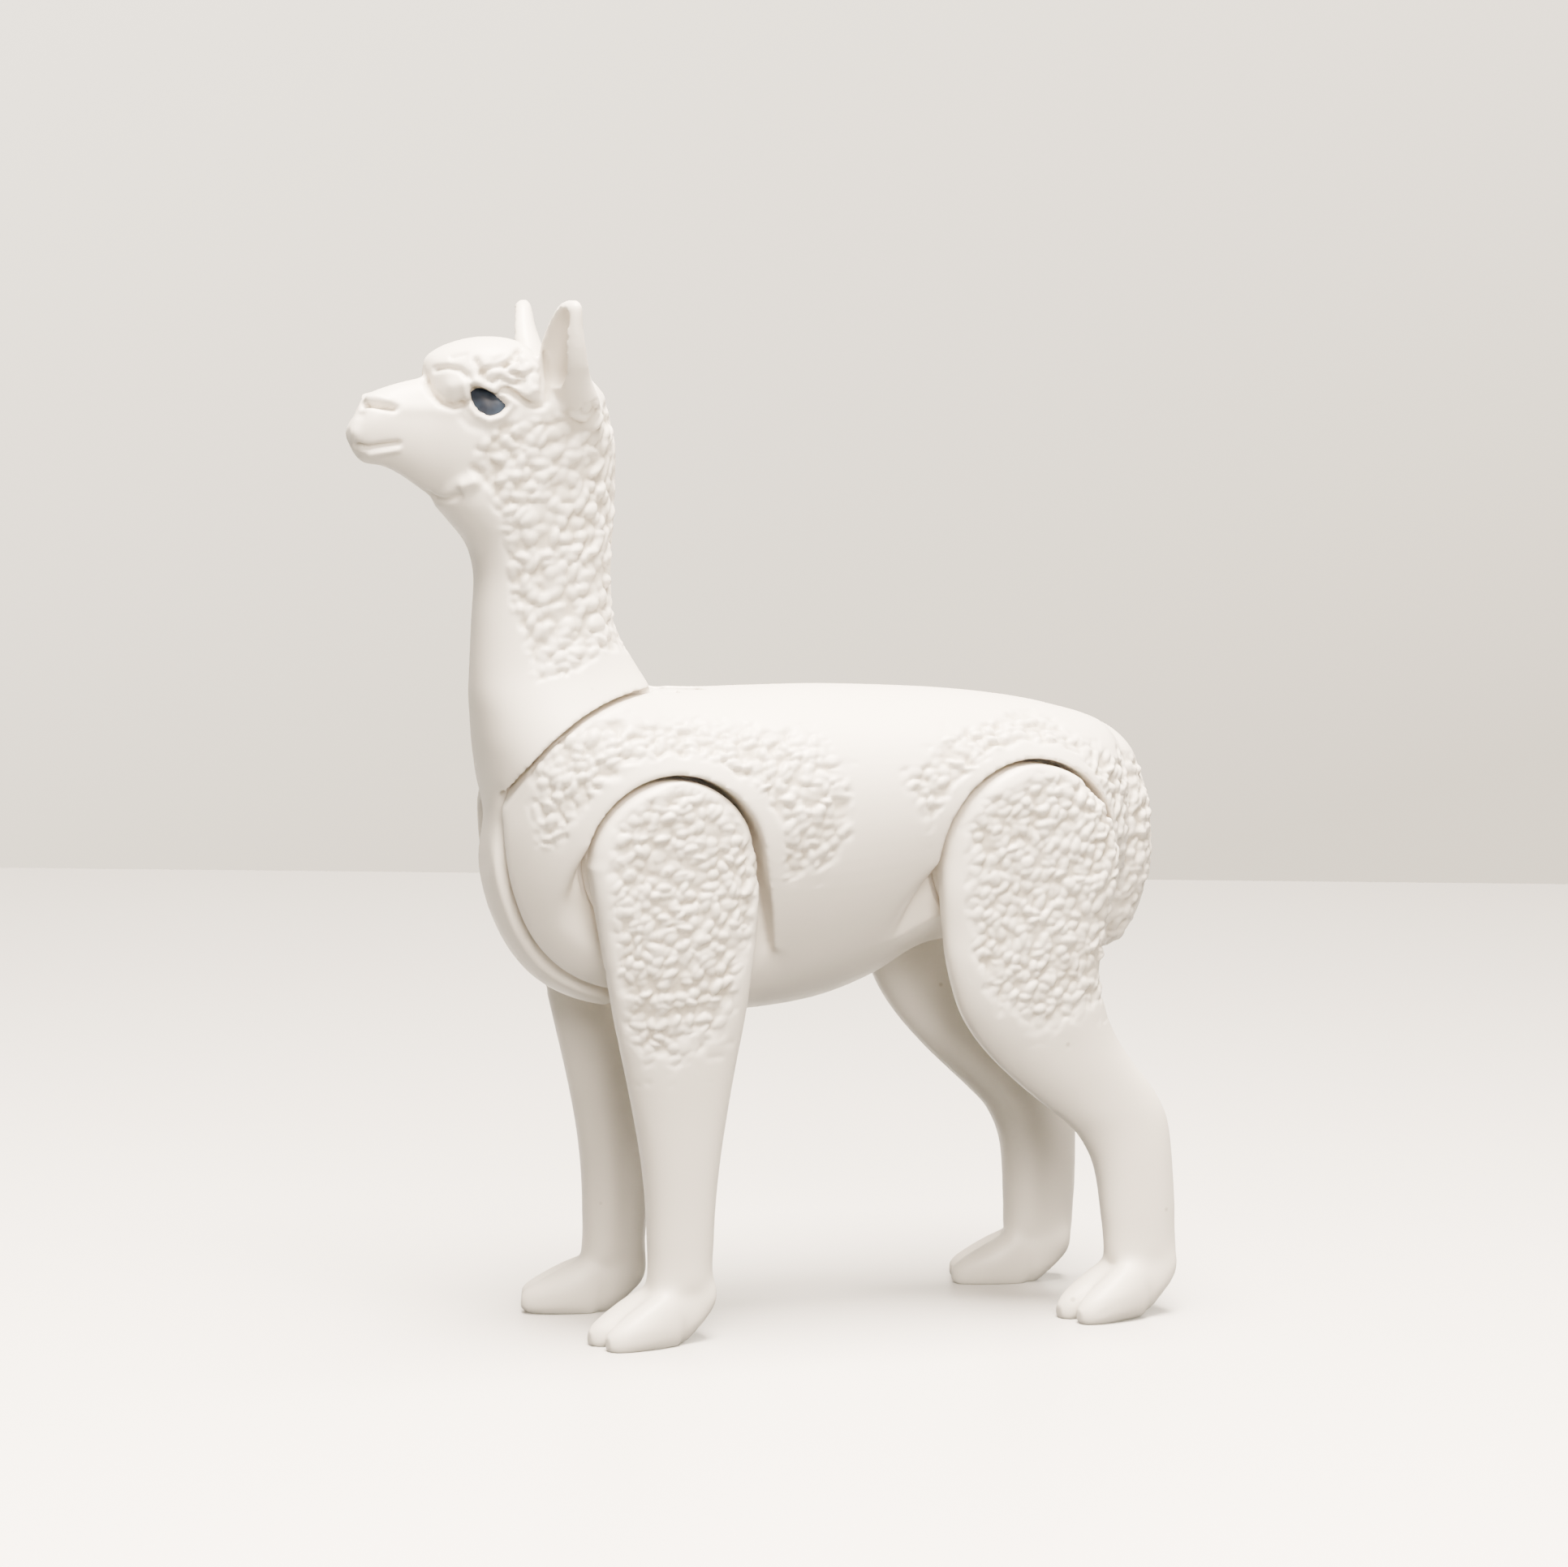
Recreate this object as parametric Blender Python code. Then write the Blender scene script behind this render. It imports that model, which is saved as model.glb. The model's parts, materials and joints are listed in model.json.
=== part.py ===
"""Articulated toy alpaca: a moulded white plastic figure, 90 mm from floor to ear tips.

The trunk is two moulded halves. The neck, with the head, turns on a disc held between them,
on one line with the shoulder pegs of the forelegs. The hind legs turn on pegs at the hips.
Lengths are in millimetres and MM turns them into metres. Nose to -X, left side to -Y, Z up.
"""
import math

import bmesh
import bpy
import numpy as np
from mathutils import Matrix, Vector

MM = 0.001
GAP = 0.3                     # clearance between neighbouring pieces

# Where the figure's own axis system stands: the middle of the body lies over the origin.
MIDDLE_X = -2.75

# Joints: one lateral axis for neck and forelegs, one for the hind legs.
SHOULDER = (-13.9, 42.0)      # x, z
HIP = (18.95, 41.7)
# Stance of each leg: degrees that it is swung back, and extra length that brings a far-swung
# foot's toes down to the floor.
STANCE = {"foreleg_left": (0.8, 0.0), "foreleg_right": (-2.1, 0.0),
          "hindleg_left": (5.0, 0.35), "hindleg_right": (-0.2, 0.0)}

# Shoulder mechanism, radii about the shoulder axis.
TRUNK_RIM = 14.3              # front end of the trunk halves
NECK_SEAT = TRUNK_RIM + GAP   # the neck's saddle rides on the trunk's rim
DISC_RADIUS = 14.1            # the neck's disc, seen between the halves at the breast
DISC_CORE_RADIUS = 12.1       # its hidden part, under the back and in the belly
DISC_HALF = 2.9               # half its thickness
DISC_FRONT_END = 243          # degrees: the disc forms the breast as far down as this,
DISC_ROOM_END = 264           # and the room between the halves goes on to here, so that it can turn
SLOT_END_X = -8.4             # rear end of the slot in the back
TONGUE_END_X = -10.0          # the neck's tongue ends here, so the rest of the slot is open
TONGUE_HALF = 1.3
TONGUE_FLOOR = 53.9
TONGUE_TOP = 56.2
TONGUE_START_X = SHOULDER[0] - 2
NECK_CORE_RADIUS = 2.0        # the saddle ends here, just short of the shoulder axis

# Leg sockets: centre, radius, where the round top ends ahead, and how far the sides of the swing
# recess below it lean outwards ahead and behind, in degrees.
FORE_SOCKET = (SHOULDER, 7.8, 166.5, 13.5, 12.0)
HIND_SOCKET = (HIP, 8.75, 181.3, 25.5, 2.0)
SOCKET_FLOOR = 6.5            # half distance between the round sockets' floors
BORE_STEP = 0.1               # the round floor is this much smaller in radius than the recess
FLANK_FLOOR = 7.2             # half distance between the flat swing recesses
HUB_GAP = 0.35                # clearance round a hub
HUB_INNER = SOCKET_FLOOR + GAP
LEG_OUTER = 12.2
PEG_RADIUS = 1.6
PEG_HOLE_RADIUS = PEG_RADIUS + GAP
PEG_INNER_END = 1.4
PEG_OUTER_END = 9.0           # inside the leg
HUB_RING_ANGLES = (78, 60, 38, 17)   # where the hub's rings lie, degrees above its middle
HUB_EDGE_TRIM = 0.9           # how far the hub's outer face draws in at the very top
FLANK_BOTTOM = 33.0           # above this height the leg's inner face runs along the flank
SWING_BOTTOM = 15.0           # the swing recess is open downwards, past the belly

FOOT_TOP = 4.6
TOE_OUT = 12.0                # degrees that a foot points outwards
EAR_TURN = 70.0               # degrees that an ear's rear edge is turned outwards
TOES = ((1.43, 0.07), (-1.43, 0.31))   # outward place and extra reach of each toe
EAR_FOOT = 85.0               # the ears part from the head at this height
HEAD_SEAM = ((-31.5, 69.4), (-14.5, 77.2))   # head and neck part from throat to nape: x, z
FAR = 100.0                   # beyond the figure on every side

# ---------------------------------------------------------------- shape tables, in mm
# Trunk: x, bottom, top, half width, height of the widest line.
TRUNK = [
    (-27.9, 39.8, 47.0, 2.6, 44.5), (-27.6, 38.2, 55.0, 4.1, 45.0), (-26.8, 36.0, 58.5, 5.7, 45.5),
    (-25.4, 33.5, 59.4, 7.7, 45.5), (-23.4, 31.3, 59.2, 9.4, 45.5), (-20.5, 29.6, 58.6, 10.9, 45.5),
    (-17.0, 28.6, 57.8, 11.6, 45.5), (-13.0, 28.2, 56.7, 12.0, 45.5), (-9.0, 27.95, 56.35, 12.1, 45.5),
    (-4.0, 27.85, 56.4, 12.1, 45.5), (2.0, 28.6, 56.45, 12.0, 45.5), (7.0, 30.3, 56.3, 11.9, 46.0),
    (11.0, 32.6, 56.1, 11.8, 46.5), (14.0, 33.4, 55.9, 11.8, 46.5), (18.0, 33.3, 55.5, 11.6, 46.5),
    (22.0, 33.0, 54.9, 11.0, 46.0), (25.0, 33.1, 54.2, 10.1, 45.0), (27.5, 33.9, 53.5, 8.6, 44.0),
    (29.3, 35.5, 52.6, 6.7, 43.5), (30.6, 38.0, 50.6, 4.4, 43.0), (31.1, 41.5, 46.5, 1.5, 43.5),
]
# Tail, pressed against the rump: z, front x, rear x, half width.
TAIL = [
    (32.2, 28.2, 30.5, 0.9), (33.0, 27.3, 31.6, 1.9), (34.6, 26.9, 32.9, 2.8), (37.0, 27.0, 33.8, 3.5),
    (40.0, 27.3, 34.4, 3.8), (43.0, 27.6, 34.5, 3.8), (46.0, 27.4, 34.1, 3.6), (48.5, 26.9, 33.2, 3.2),
    (50.4, 26.4, 32.2, 2.8), (51.6, 26.0, 31.1, 2.2), (52.5, 26.0, 29.8, 1.4), (52.9, 26.2, 28.6, 0.7),
]
# Neck: z, front x, rear x, half width.
NECK = [
    (43.0, -27.0, -14.0, 7.0), (45.0, -27.6, -12.0, 8.6), (48.0, -28.1, -10.4, 9.8),
    (50.0, -28.4, -10.5, 9.9), (52.0, -28.7, -11.2, 9.3), (54.0, -28.9, -12.1, 8.4),
    (56.0, -29.1, -13.0, 7.3), (58.0, -29.1, -14.3, 6.3), (60.0, -29.05, -15.5, 5.7),
    (62.6, -28.95, -16.6, 5.25), (66.0, -28.8, -16.85, 5.0), (68.2, -29.2, -16.8, 5.0),
    (69.7, -30.0, -16.7, 5.0), (71.2, -31.3, -16.6, 5.0), (73.0, -32.7, -16.5, 5.0),
    (75.5, -32.9, -16.45, 5.0), (78.0, -30.5, -16.6, 5.0), (80.5, -28.5, -17.2, 4.8),
    (82.6, -26.6, -18.5, 4.0), (84.0, -25.0, -19.8, 2.6),
]
# Head: x, bottom, top, half width, height of the widest line.
HEAD = [
    (-40.0, 78.0, 79.1, 0.7, 78.6), (-39.75, 77.6, 80.0, 1.4, 79.0), (-39.2, 76.9, 81.0, 1.95, 79.3),
    (-38.4, 76.2, 81.8, 2.3, 79.5), (-37.0, 75.7, 82.35, 2.4, 79.5), (-35.5, 75.0, 82.8, 2.45, 79.3),
    (-33.6, 73.7, 83.25, 2.9, 79.0), (-31.6, 72.3, 83.8, 3.8, 78.8), (-29.5, 71.2, 84.4, 4.6, 78.6),
    (-27.3, 71.0, 84.9, 5.0, 78.5), (-25.0, 71.2, 85.1, 5.1, 78.5), (-22.5, 72.0, 84.9, 5.0, 78.5),
    (-20.3, 74.0, 84.2, 4.5, 78.8), (-18.8, 76.0, 83.2, 3.5, 79.5), (-17.6, 78.0, 82.0, 1.8, 80.0),
]
# Cap of wool on the forehead: x, bottom, top, half width, height of the widest line.
TOPKNOT = [
    (-33.35, 82.6, 84.5, 0.8, 83.4), (-33.0, 81.6, 85.1, 2.2, 83.0), (-32.3, 80.9, 85.6, 3.35, 82.7),
    (-31.2, 80.8, 86.1, 4.1, 82.8), (-29.7, 81.8, 86.6, 4.7, 83.3), (-27.8, 82.0, 86.75, 5.0, 83.5),
    (-26.2, 81.2, 86.65, 5.15, 83.1), (-24.9, 80.6, 86.1, 5.15, 82.7), (-24.35, 81.1, 85.5, 4.4, 82.9),
    (-24.1, 82.1, 84.8, 2.8, 83.4),
]
# Ear before its turn: z, front x, rear x, middle y, half width (left and right alike).
EAR = [
    (81.0, -22.8, -18.4, 3.9, 1.9), (82.5, -23.6, -18.9, 4.3, 1.85), (84.2, -24.45, -19.45, 4.9, 1.85),
    (86.0, -24.5, -19.8, 5.55, 1.55), (87.6, -24.2, -20.4, 6.4, 1.1), (88.8, -23.8, -21.1, 7.1, 0.8),
    (89.6, -23.1, -21.6, 7.5, 0.5), (89.95, -22.55, -22.05, 7.6, 0.2),
]
EYE = (-29.0, 4.05, 81.45)    # centre of the left eyeball: x, outward y, z
EYE_RADII = (1.75, 1.1, 1.5)
# Foreleg below the hub: z, front x, rear x, inner y, outer y.
FORELEG = [
    (42.0, -21.35, -6.45, 6.8, 12.2), (39.5, -21.05, -6.35, 7.5, 12.2), (36.0, -20.5, -6.5, 7.5, 12.2),
    (32.0, -19.75, -6.95, 7.4, 12.0), (28.0, -18.95, -7.45, 6.95, 11.6), (24.0, -17.95, -8.1, 6.3, 11.1),
    (20.0, -17.0, -8.65, 5.65, 10.55), (16.0, -16.2, -9.15, 5.15, 10.1), (12.0, -15.7, -9.5, 4.8, 9.7),
    (8.0, -15.5, -9.65, 4.6, 9.4), (FOOT_TOP, -15.55, -9.7, 4.5, 9.3),
]
# Hind leg below the hub, with the foot flat on the floor.
HINDLEG = [
    (41.7, 10.55, 27.35, 6.8, 12.2), (39.5, 10.4, 27.15, 7.5, 12.2), (37.0, 10.35, 26.5, 7.5, 12.2),
    (33.5, 10.5, 25.45, 7.5, 12.2), (29.6, 11.3, 25.0, 7.25, 12.0), (27.0, 12.5, 25.35, 7.0, 11.7),
    (24.5, 14.3, 26.4, 6.75, 11.3), (22.0, 16.6, 28.0, 6.5, 10.95), (20.0, 18.7, 29.45, 6.25, 10.7),
    (18.0, 20.85, 30.5, 6.1, 10.55), (16.2, 22.5, 31.0, 6.0, 10.45), (13.4, 23.75, 31.15, 5.95, 10.4),
    (9.5, 24.2, 31.15, 5.9, 10.35), (FOOT_TOP, 24.25, 31.05, 5.9, 10.35),
]
# Foot base and one toe: distance ahead of the ankle, bottom, top, half width.
FOOT = [
    (-3.0, 3.3, 5.3, 1.7), (-2.4, 2.3, 5.7, 2.3), (-0.8, 0.7, 5.7, 2.5), (0.9, -0.4, 5.5, 2.5),
    (2.4, -0.4, 4.7, 2.5), (3.6, -0.3, 3.7, 2.2), (4.9, 0.3, 2.3, 1.1),
]
TOE = [
    (0.6, 0.6, 3.6, 0.8), (1.7, -0.4, 4.75, 1.4), (3.8, -0.4, 4.1, 1.65), (5.3, -0.4, 3.35, 1.55),
    (6.4, -0.35, 2.65, 1.35), (7.3, -0.2, 1.95, 1.0), (7.85, 0.2, 1.35, 0.5),
]

WHITE = (0.86, 0.81, 0.74, 1.0)
WHITE_ROUGHNESS = 0.45
NAVY = (0.018, 0.022, 0.032, 1.0)
NAVY_ROUGHNESS = 0.12
SHARP_ANGLE = 40.0            # degrees: edges sharper than this stay crisp


# ---------------------------------------------------------------- tools
def clear_scene():
    """Remove whatever the scene holds."""
    for obj in list(bpy.data.objects):
        bpy.data.objects.remove(obj, do_unlink=True)


def material(name, colour, roughness):
    """Plain plastic or paint."""
    made = bpy.data.materials.new(name)
    made.use_nodes = True
    shader = made.node_tree.nodes["Principled BSDF"]
    shader.inputs["Base Color"].default_value = colour
    shader.inputs["Roughness"].default_value = roughness
    shader.inputs["Metallic"].default_value = 0.0
    return made


def powered(value, power):
    """Power that keeps the sign, for super-ellipses."""
    return np.sign(value) * np.abs(value) ** power


def upright_ring(row, count, low=1.75, high=2.3):
    """Ring across the body at x: an egg of half width w, rounder above its widest line."""
    x, bottom, top, width, wide = row
    angle = np.linspace(0, 2 * math.pi, count, endpoint=False)
    rise = np.sin(angle)
    exponent = np.where(rise >= 0, high, low)
    y = width * powered(np.cos(angle), 2 / exponent)
    reach = np.where(rise >= 0, top - wide, wide - bottom)
    z = wide + reach * powered(rise, 2 / exponent)
    return np.stack([np.full(count, x), y, z], axis=1)


def level_ring(row, count=14, power=2.2):
    """Ring at height z between front and rear x and between inner and outer y."""
    z, front, rear, near, far = row
    angle = np.linspace(0, 2 * math.pi, count, endpoint=False)
    x = (front + rear) / 2 + (rear - front) / 2 * powered(np.cos(angle), 2 / power)
    y = (near + far) / 2 + (far - near) / 2 * powered(np.sin(angle), 2 / power)
    return np.stack([x, y, np.full(count, z)], axis=1)


def skin(name, rings):
    """Closed mesh object through a stack of rings, with a fan at each end."""
    rings = np.asarray(rings)
    bm = bmesh.new()
    loops = [[bm.verts.new(point) for point in ring] for ring in rings]
    count = len(loops[0])
    for lower, upper in zip(loops, loops[1:]):
        for i in range(count):
            j = (i + 1) % count
            bm.faces.new((lower[i], lower[j], upper[j], upper[i]))
    for loop, ring in ((loops[0], rings[0]), (loops[-1], rings[-1])):
        centre = bm.verts.new(ring.mean(axis=0))
        for i in range(count):
            bm.faces.new((loop[i], loop[(i + 1) % count], centre))
    return finish_mesh(name, bm)


def arc(centre, radius, first, last, count):
    """Points of an arc, angles in degrees from +X towards +Z."""
    angles = np.radians(np.linspace(first, last, count))
    return [(centre[0] + radius * math.cos(a), centre[1] + radius * math.sin(a)) for a in angles]


def prism(name, outline, low_y, high_y):
    """Outline in x and z, extruded from low_y to high_y."""
    bm = bmesh.new()
    face = bm.faces.new([bm.verts.new((x, low_y, z)) for x, z in outline])
    swept = bmesh.ops.extrude_face_region(bm, geom=[face])
    moved = [item for item in swept["geom"] if isinstance(item, bmesh.types.BMVert)]
    bmesh.ops.translate(bm, vec=(0, high_y - low_y, 0), verts=moved)
    return finish_mesh(name, bm)


def cylinder(name, centre, radius, low_y, high_y, count=28):
    """Round bar on a lateral axis through centre."""
    return prism(name, arc(centre, radius, 0, 360 - 360 / count, count), low_y, high_y)


def box(name, low, high):
    """Box between two opposite corners."""
    outline = [(low[0], low[2]), (high[0], low[2]), (high[0], high[2]), (low[0], high[2])]
    return prism(name, outline, low[1], high[1])


def ellipsoid(name, centre, radii, segments=12, rings=8):
    """Closed egg with the given half sizes."""
    bm = bmesh.new()
    bmesh.ops.create_uvsphere(bm, u_segments=segments, v_segments=rings, radius=1.0)
    bmesh.ops.scale(bm, vec=radii, verts=bm.verts)
    bmesh.ops.translate(bm, vec=centre, verts=bm.verts)
    return finish_mesh(name, bm)


def finish_mesh(name, bm):
    """Turn the faces outwards and make an object of them."""
    bmesh.ops.recalc_face_normals(bm, faces=bm.faces)
    mesh = bpy.data.meshes.new(name)
    bm.to_mesh(mesh)
    bm.free()
    obj = bpy.data.objects.new(name, mesh)
    bpy.context.scene.collection.objects.link(obj)
    return obj


def combine(target, tool, operation, keep_tool=False):
    """Boolean of two solids, worked out at once. The tool is used up unless it is kept."""
    modifier = target.modifiers.new("cut", "BOOLEAN")
    modifier.operation = operation
    modifier.solver = "EXACT"
    modifier.object = tool
    result = bpy.data.meshes.new_from_object(
        target.evaluated_get(bpy.context.evaluated_depsgraph_get()))
    target.modifiers.clear()
    target.data = result
    if not keep_tool:
        bpy.data.objects.remove(tool, do_unlink=True)
    return target


def join(target, *tools):
    """Union with each tool in turn."""
    for tool in tools:
        combine(target, tool, "UNION")
    return target


def cut(target, *tools):
    """Take each tool away in turn."""
    for tool in tools:
        combine(target, tool, "DIFFERENCE")
    return target


def copy(obj, name):
    """A twin with a mesh of its own."""
    twin = bpy.data.objects.new(name, obj.data.copy())
    bpy.context.scene.collection.objects.link(twin)
    return twin


def mirrored(obj, name):
    """The same solid on the figure's other side."""
    twin = copy(obj, name)
    twin.data.transform(Matrix.Diagonal((1, -1, 1, 1)))
    twin.data.flip_normals()
    return twin


def swollen(table, amount):
    """The same kind of table for a shape that is larger by an amount all round."""
    rows = [list(row) for row in table]
    for row in rows:
        row[1] -= amount
        row[2] += amount
        row[3] += amount
    rows[0][0] -= amount
    rows[-1][0] += amount
    return rows


def turn_about(obj, centre, degrees):
    """Turn a solid about a lateral axis: positive moves what hangs below it to -X."""
    pivot = Vector((centre[0], 0, centre[1]))
    turn = Matrix.Rotation(math.radians(degrees), 4, "Y")
    obj.data.transform(Matrix.Translation(pivot) @ turn @ Matrix.Translation(-pivot))


# ---------------------------------------------------------------- shoulder, trunk, tail
def swing_outline(socket, depth):
    """Socket outline: a round top, and straight sides that open downwards."""
    centre, radius, last, ahead, behind = socket
    points = arc(centre, radius, behind, last, 17)
    right, left = points[0], points[-1]
    points.append((left[0] - (left[1] - depth) * math.tan(math.radians(ahead)), depth))
    points.append((right[0] + (right[1] - depth) * math.tan(math.radians(behind)), depth))
    return points


def whole_trunk(name):
    """The trunk's outer shape, before it is halved."""
    return skin(name, [upright_ring(row, 20) for row in TRUNK])


def trunk_half(name):
    """The left half: everything across the midline goes, and half the gap between the halves."""
    body = whole_trunk(name)
    cut(body, box("other_half", (-FAR, -GAP / 2, -FAR), (FAR, FAR, FAR)))
    # Front end: the rim is a circle about the shoulder axis.
    rim = arc(SHOULDER, TRUNK_RIM, 90, 175, 20) + arc(SHOULDER, 3 * TRUNK_RIM, 175, 90, 6)
    cut(body, prism("outside_rim", rim, -FAR, FAR))
    # Room for the neck's disc and, at the top, for its tongue.
    deep = arc(SHOULDER, TRUNK_RIM + 6, 80, DISC_ROOM_END, 14)
    deep += arc(SHOULDER, DISC_CORE_RADIUS + GAP, DISC_ROOM_END + 1, 439, 22)
    cut(body, prism("disc_room", deep, -DISC_HALF - GAP, 1))
    cut(body, box("tongue_room", (TONGUE_START_X - 1, -TONGUE_HALF - GAP, TONGUE_FLOOR - GAP - 0.1),
                  (SLOT_END_X, 2, TONGUE_TOP + 4)))
    # Sockets.
    for socket in (FORE_SOCKET, HIND_SOCKET):
        centre, radius = socket[:2]
        cut(body, prism("swing", swing_outline(socket, SWING_BOTTOM), -FAR, -FLANK_FLOOR))
        cut(body, cylinder("socket", centre, radius - BORE_STEP, -FLANK_FLOOR - 1, -SOCKET_FLOOR))
        cut(body, cylinder("peg_hole", centre, PEG_HOLE_RADIUS, -FAR, -1, 14))
    # The tail lies in a groove.
    cut(body, skin("tail_room", [tail_ring(row) for row in swollen(TAIL, GAP)]))
    return body


def tail_ring(row):
    """Ring of the tail, the same on both sides of the midline."""
    return level_ring((row[0], row[1], row[2], -row[3], row[3]), 12)


def tail():
    """The hanging tail, moulded against the rump."""
    return skin("tail", [tail_ring(row) for row in TAIL])


# ---------------------------------------------------------------- neck and head
def neck_and_head():
    """The neck's saddle, disc and tongue with the head, as one solid before it is parted."""
    body = skin("neck", [level_ring((z, front, rear, -half, half), 16) for z, front, rear, half in NECK])
    for side in (-1, 1):
        cut(body, cylinder("seat", SHOULDER, NECK_SEAT, *sorted((side * DISC_HALF, side * FAR)), 56))
    behind = arc(SHOULDER, NECK_CORE_RADIUS, 90, -110, 12) + arc(SHOULDER, 3 * TRUNK_RIM, -110, 90, 12)
    cut(body, prism("behind", behind, -FAR, FAR))
    disc_outline = arc(SHOULDER, DISC_RADIUS, 86, 175, 16)
    disc_outline += arc(SHOULDER, 1.5 * DISC_RADIUS, 176, DISC_FRONT_END, 12)
    disc_outline += arc(SHOULDER, DISC_CORE_RADIUS, DISC_FRONT_END + 1, 446, 24)
    disc = prism("disc", disc_outline, -DISC_HALF, DISC_HALF)
    combine(disc, whole_trunk("breast"), "INTERSECT")
    tongue = box("tongue", (TONGUE_START_X, -TONGUE_HALF, TONGUE_FLOOR),
                 (TONGUE_END_X, TONGUE_HALF, TONGUE_TOP))
    head = skin("head", [upright_ring(row, 14, 2.1, 2.2) for row in HEAD])
    join(body, disc, tongue, head)
    cut(body, cylinder("bore", SHOULDER, PEG_HOLE_RADIUS, -FAR, FAR, 14))
    return body


def ear_solid(side, name):
    """One ear, from inside the head to its tip, opening forwards and a little outwards."""
    rings = []
    for z, front, rear, y, half in EAR:
        ring = level_ring((z, front, rear, side * y - half, side * y + half), 12)
        middle = Vector(((front + rear) / 2, side * y, 0))
        turn = Matrix.Rotation(math.radians(side * EAR_TURN), 4, "Z")
        place_ring = Matrix.Translation(middle) @ turn @ Matrix.Translation(-middle)
        rings.append(np.array([place_ring @ Vector(point) for point in ring]))
    return skin(name, rings)


def cap_solid(name, table):
    """The wool on the forehead, or a larger shape like it."""
    return skin(name, [upright_ring(row, 14, 2.2, 2.4) for row in table])


def one_side(name, seam, gap, side):
    """Slab on one side of a seam line in x and z, starting gap above it: 1 is above, -1 below."""
    first, last = (np.array(point) for point in seam)
    along = (last - first) / np.linalg.norm(last - first)
    up = np.array((-along[1], along[0]))
    ends = (first - along * FAR, last + along * FAR)
    outline = [ends[0] + up * gap, ends[1] + up * gap, ends[1] + up * side * FAR, ends[0] + up * side * FAR]
    return prism(name, outline, -FAR, FAR)


def head_pieces():
    """Neck, head, topknot, ears and eyes, parted from one another."""
    whole = neck_and_head()
    pieces = {}
    for side, word in ((-1, "left"), (1, "right")):
        ear = ear_solid(side, "ear_" + word)
        stump = copy(ear, "stump")
        cut(stump, box("above", (-FAR, -FAR, EAR_FOOT), (FAR, FAR, FAR)))
        cut(ear, box("below", (-FAR, -FAR, 0), (FAR, FAR, EAR_FOOT + GAP)))
        join(whole, stump)
        pieces["ear_" + word] = ear
    pieces["topknot"] = cap_solid("topknot", TOPKNOT)
    cut(whole, cap_solid("cap_room", swollen(TOPKNOT, GAP)))
    for side, word in ((-1, "left"), (1, "right")):
        centre = (EYE[0], side * EYE[1], EYE[2])
        socket_radii = [radius + GAP for radius in EYE_RADII]
        for around in (whole, pieces["topknot"]):
            cut(around, ellipsoid("eye_room", centre, socket_radii))
        pieces["eye_" + word] = ellipsoid("eye_" + word, centre, EYE_RADII)
    pieces["head"] = cut(copy(whole, "head"), one_side("neck_side", HEAD_SEAM, GAP, -1))
    pieces["neck"] = cut(whole, one_side("head_side", HEAD_SEAM, 0.0, 1))
    return pieces


# ---------------------------------------------------------------- legs
def leg_solid(name, table, socket, side):
    """One leg from hub to ankle: a round hub in the socket, the limb below it, and the peg."""
    centre, hub_radius = socket[0], socket[1] - HUB_GAP
    hub = []
    for angle in HUB_RING_ANGLES:
        rise = math.sin(math.radians(angle))
        reach = hub_radius * math.cos(math.radians(angle))
        hub.append((centre[1] + hub_radius * rise, centre[0] - reach, centre[0] + reach,
                    HUB_INNER, LEG_OUTER - HUB_EDGE_TRIM * rise ** 6))
    rows = sorted(hub + [tuple(row) for row in table])
    rings = [level_ring((z, front, rear, side * near, side * far), 14, 2.5 if z > 30 else 2.2)
             for z, front, rear, near, far in rows]
    leg = skin(name, rings)
    # The flat inner face stays clear of the flank, and only the round hub goes deeper.
    inner, outer = sorted((side * FLANK_FLOOR / 2, side * (FLANK_FLOOR + GAP)))
    flank = box("flank", (-FAR, inner, FLANK_BOTTOM), (FAR, outer, FAR))
    cut(flank, cylinder("hub", centre, hub_radius, inner - 1, outer + 1))
    cut(leg, flank)
    return join(leg, cylinder("peg", centre, PEG_RADIUS,
                              *sorted((side * PEG_INNER_END, side * PEG_OUTER_END)), 14))


def foot_solid(name, ankle, side):
    """Foot with two toes, flat underneath: it points forwards and a little outwards."""
    def ring(row, offset, count):
        ahead, bottom, top, half = row
        points = upright_ring((-ahead, bottom, top, half, (bottom + top) / 2 - 0.2), count, 2.6, 2.2)
        points[:, 1] += offset
        return points
    body = skin(name, [ring(row, 0.0, 10) for row in reversed(FOOT)])
    for outward, longer in TOES:
        toe = [(ahead + longer, low, high, half) for ahead, low, high, half in reversed(TOE)]
        join(body, skin("toe", [ring(row, side * outward, 8) for row in toe]))
    place = Matrix.Translation(Vector(ankle)) @ Matrix.Rotation(math.radians(-side * TOE_OUT), 4, "Z")
    body.data.transform(place)
    return body


def lengthened(table, extra):
    """The same leg, longer by an amount that grows from none at the hub to all at the ankle."""
    hub, ankle = table[0][0], table[-1][0]
    return [(row[0] - extra * (hub - row[0]) / (hub - ankle), *row[1:]) for row in table]


def leg_pieces(word, kind, table, socket, side):
    """Leg and foot, swung to their stance, with the sole cut level at the floor."""
    swing, extra = STANCE[kind + "leg_" + word]
    table = lengthened(table, extra)
    leg = leg_solid(kind + "leg_" + word, table, socket, side)
    ankle_z, front, rear, inner, outer = table[-1]
    foot = foot_solid(kind + "foot_" + word, ((front + rear) / 2, side * (inner + outer) / 2, -extra), side)
    cut(foot, box("over", (-FAR, -FAR, ankle_z - GAP), (FAR, FAR, FAR)))
    turn_about(leg, socket[0], -swing)
    turn_about(foot, socket[0], -swing)
    cut(foot, box("floor", (-FAR, -FAR, -FAR), (FAR, FAR, 0)))
    return leg, foot


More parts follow.
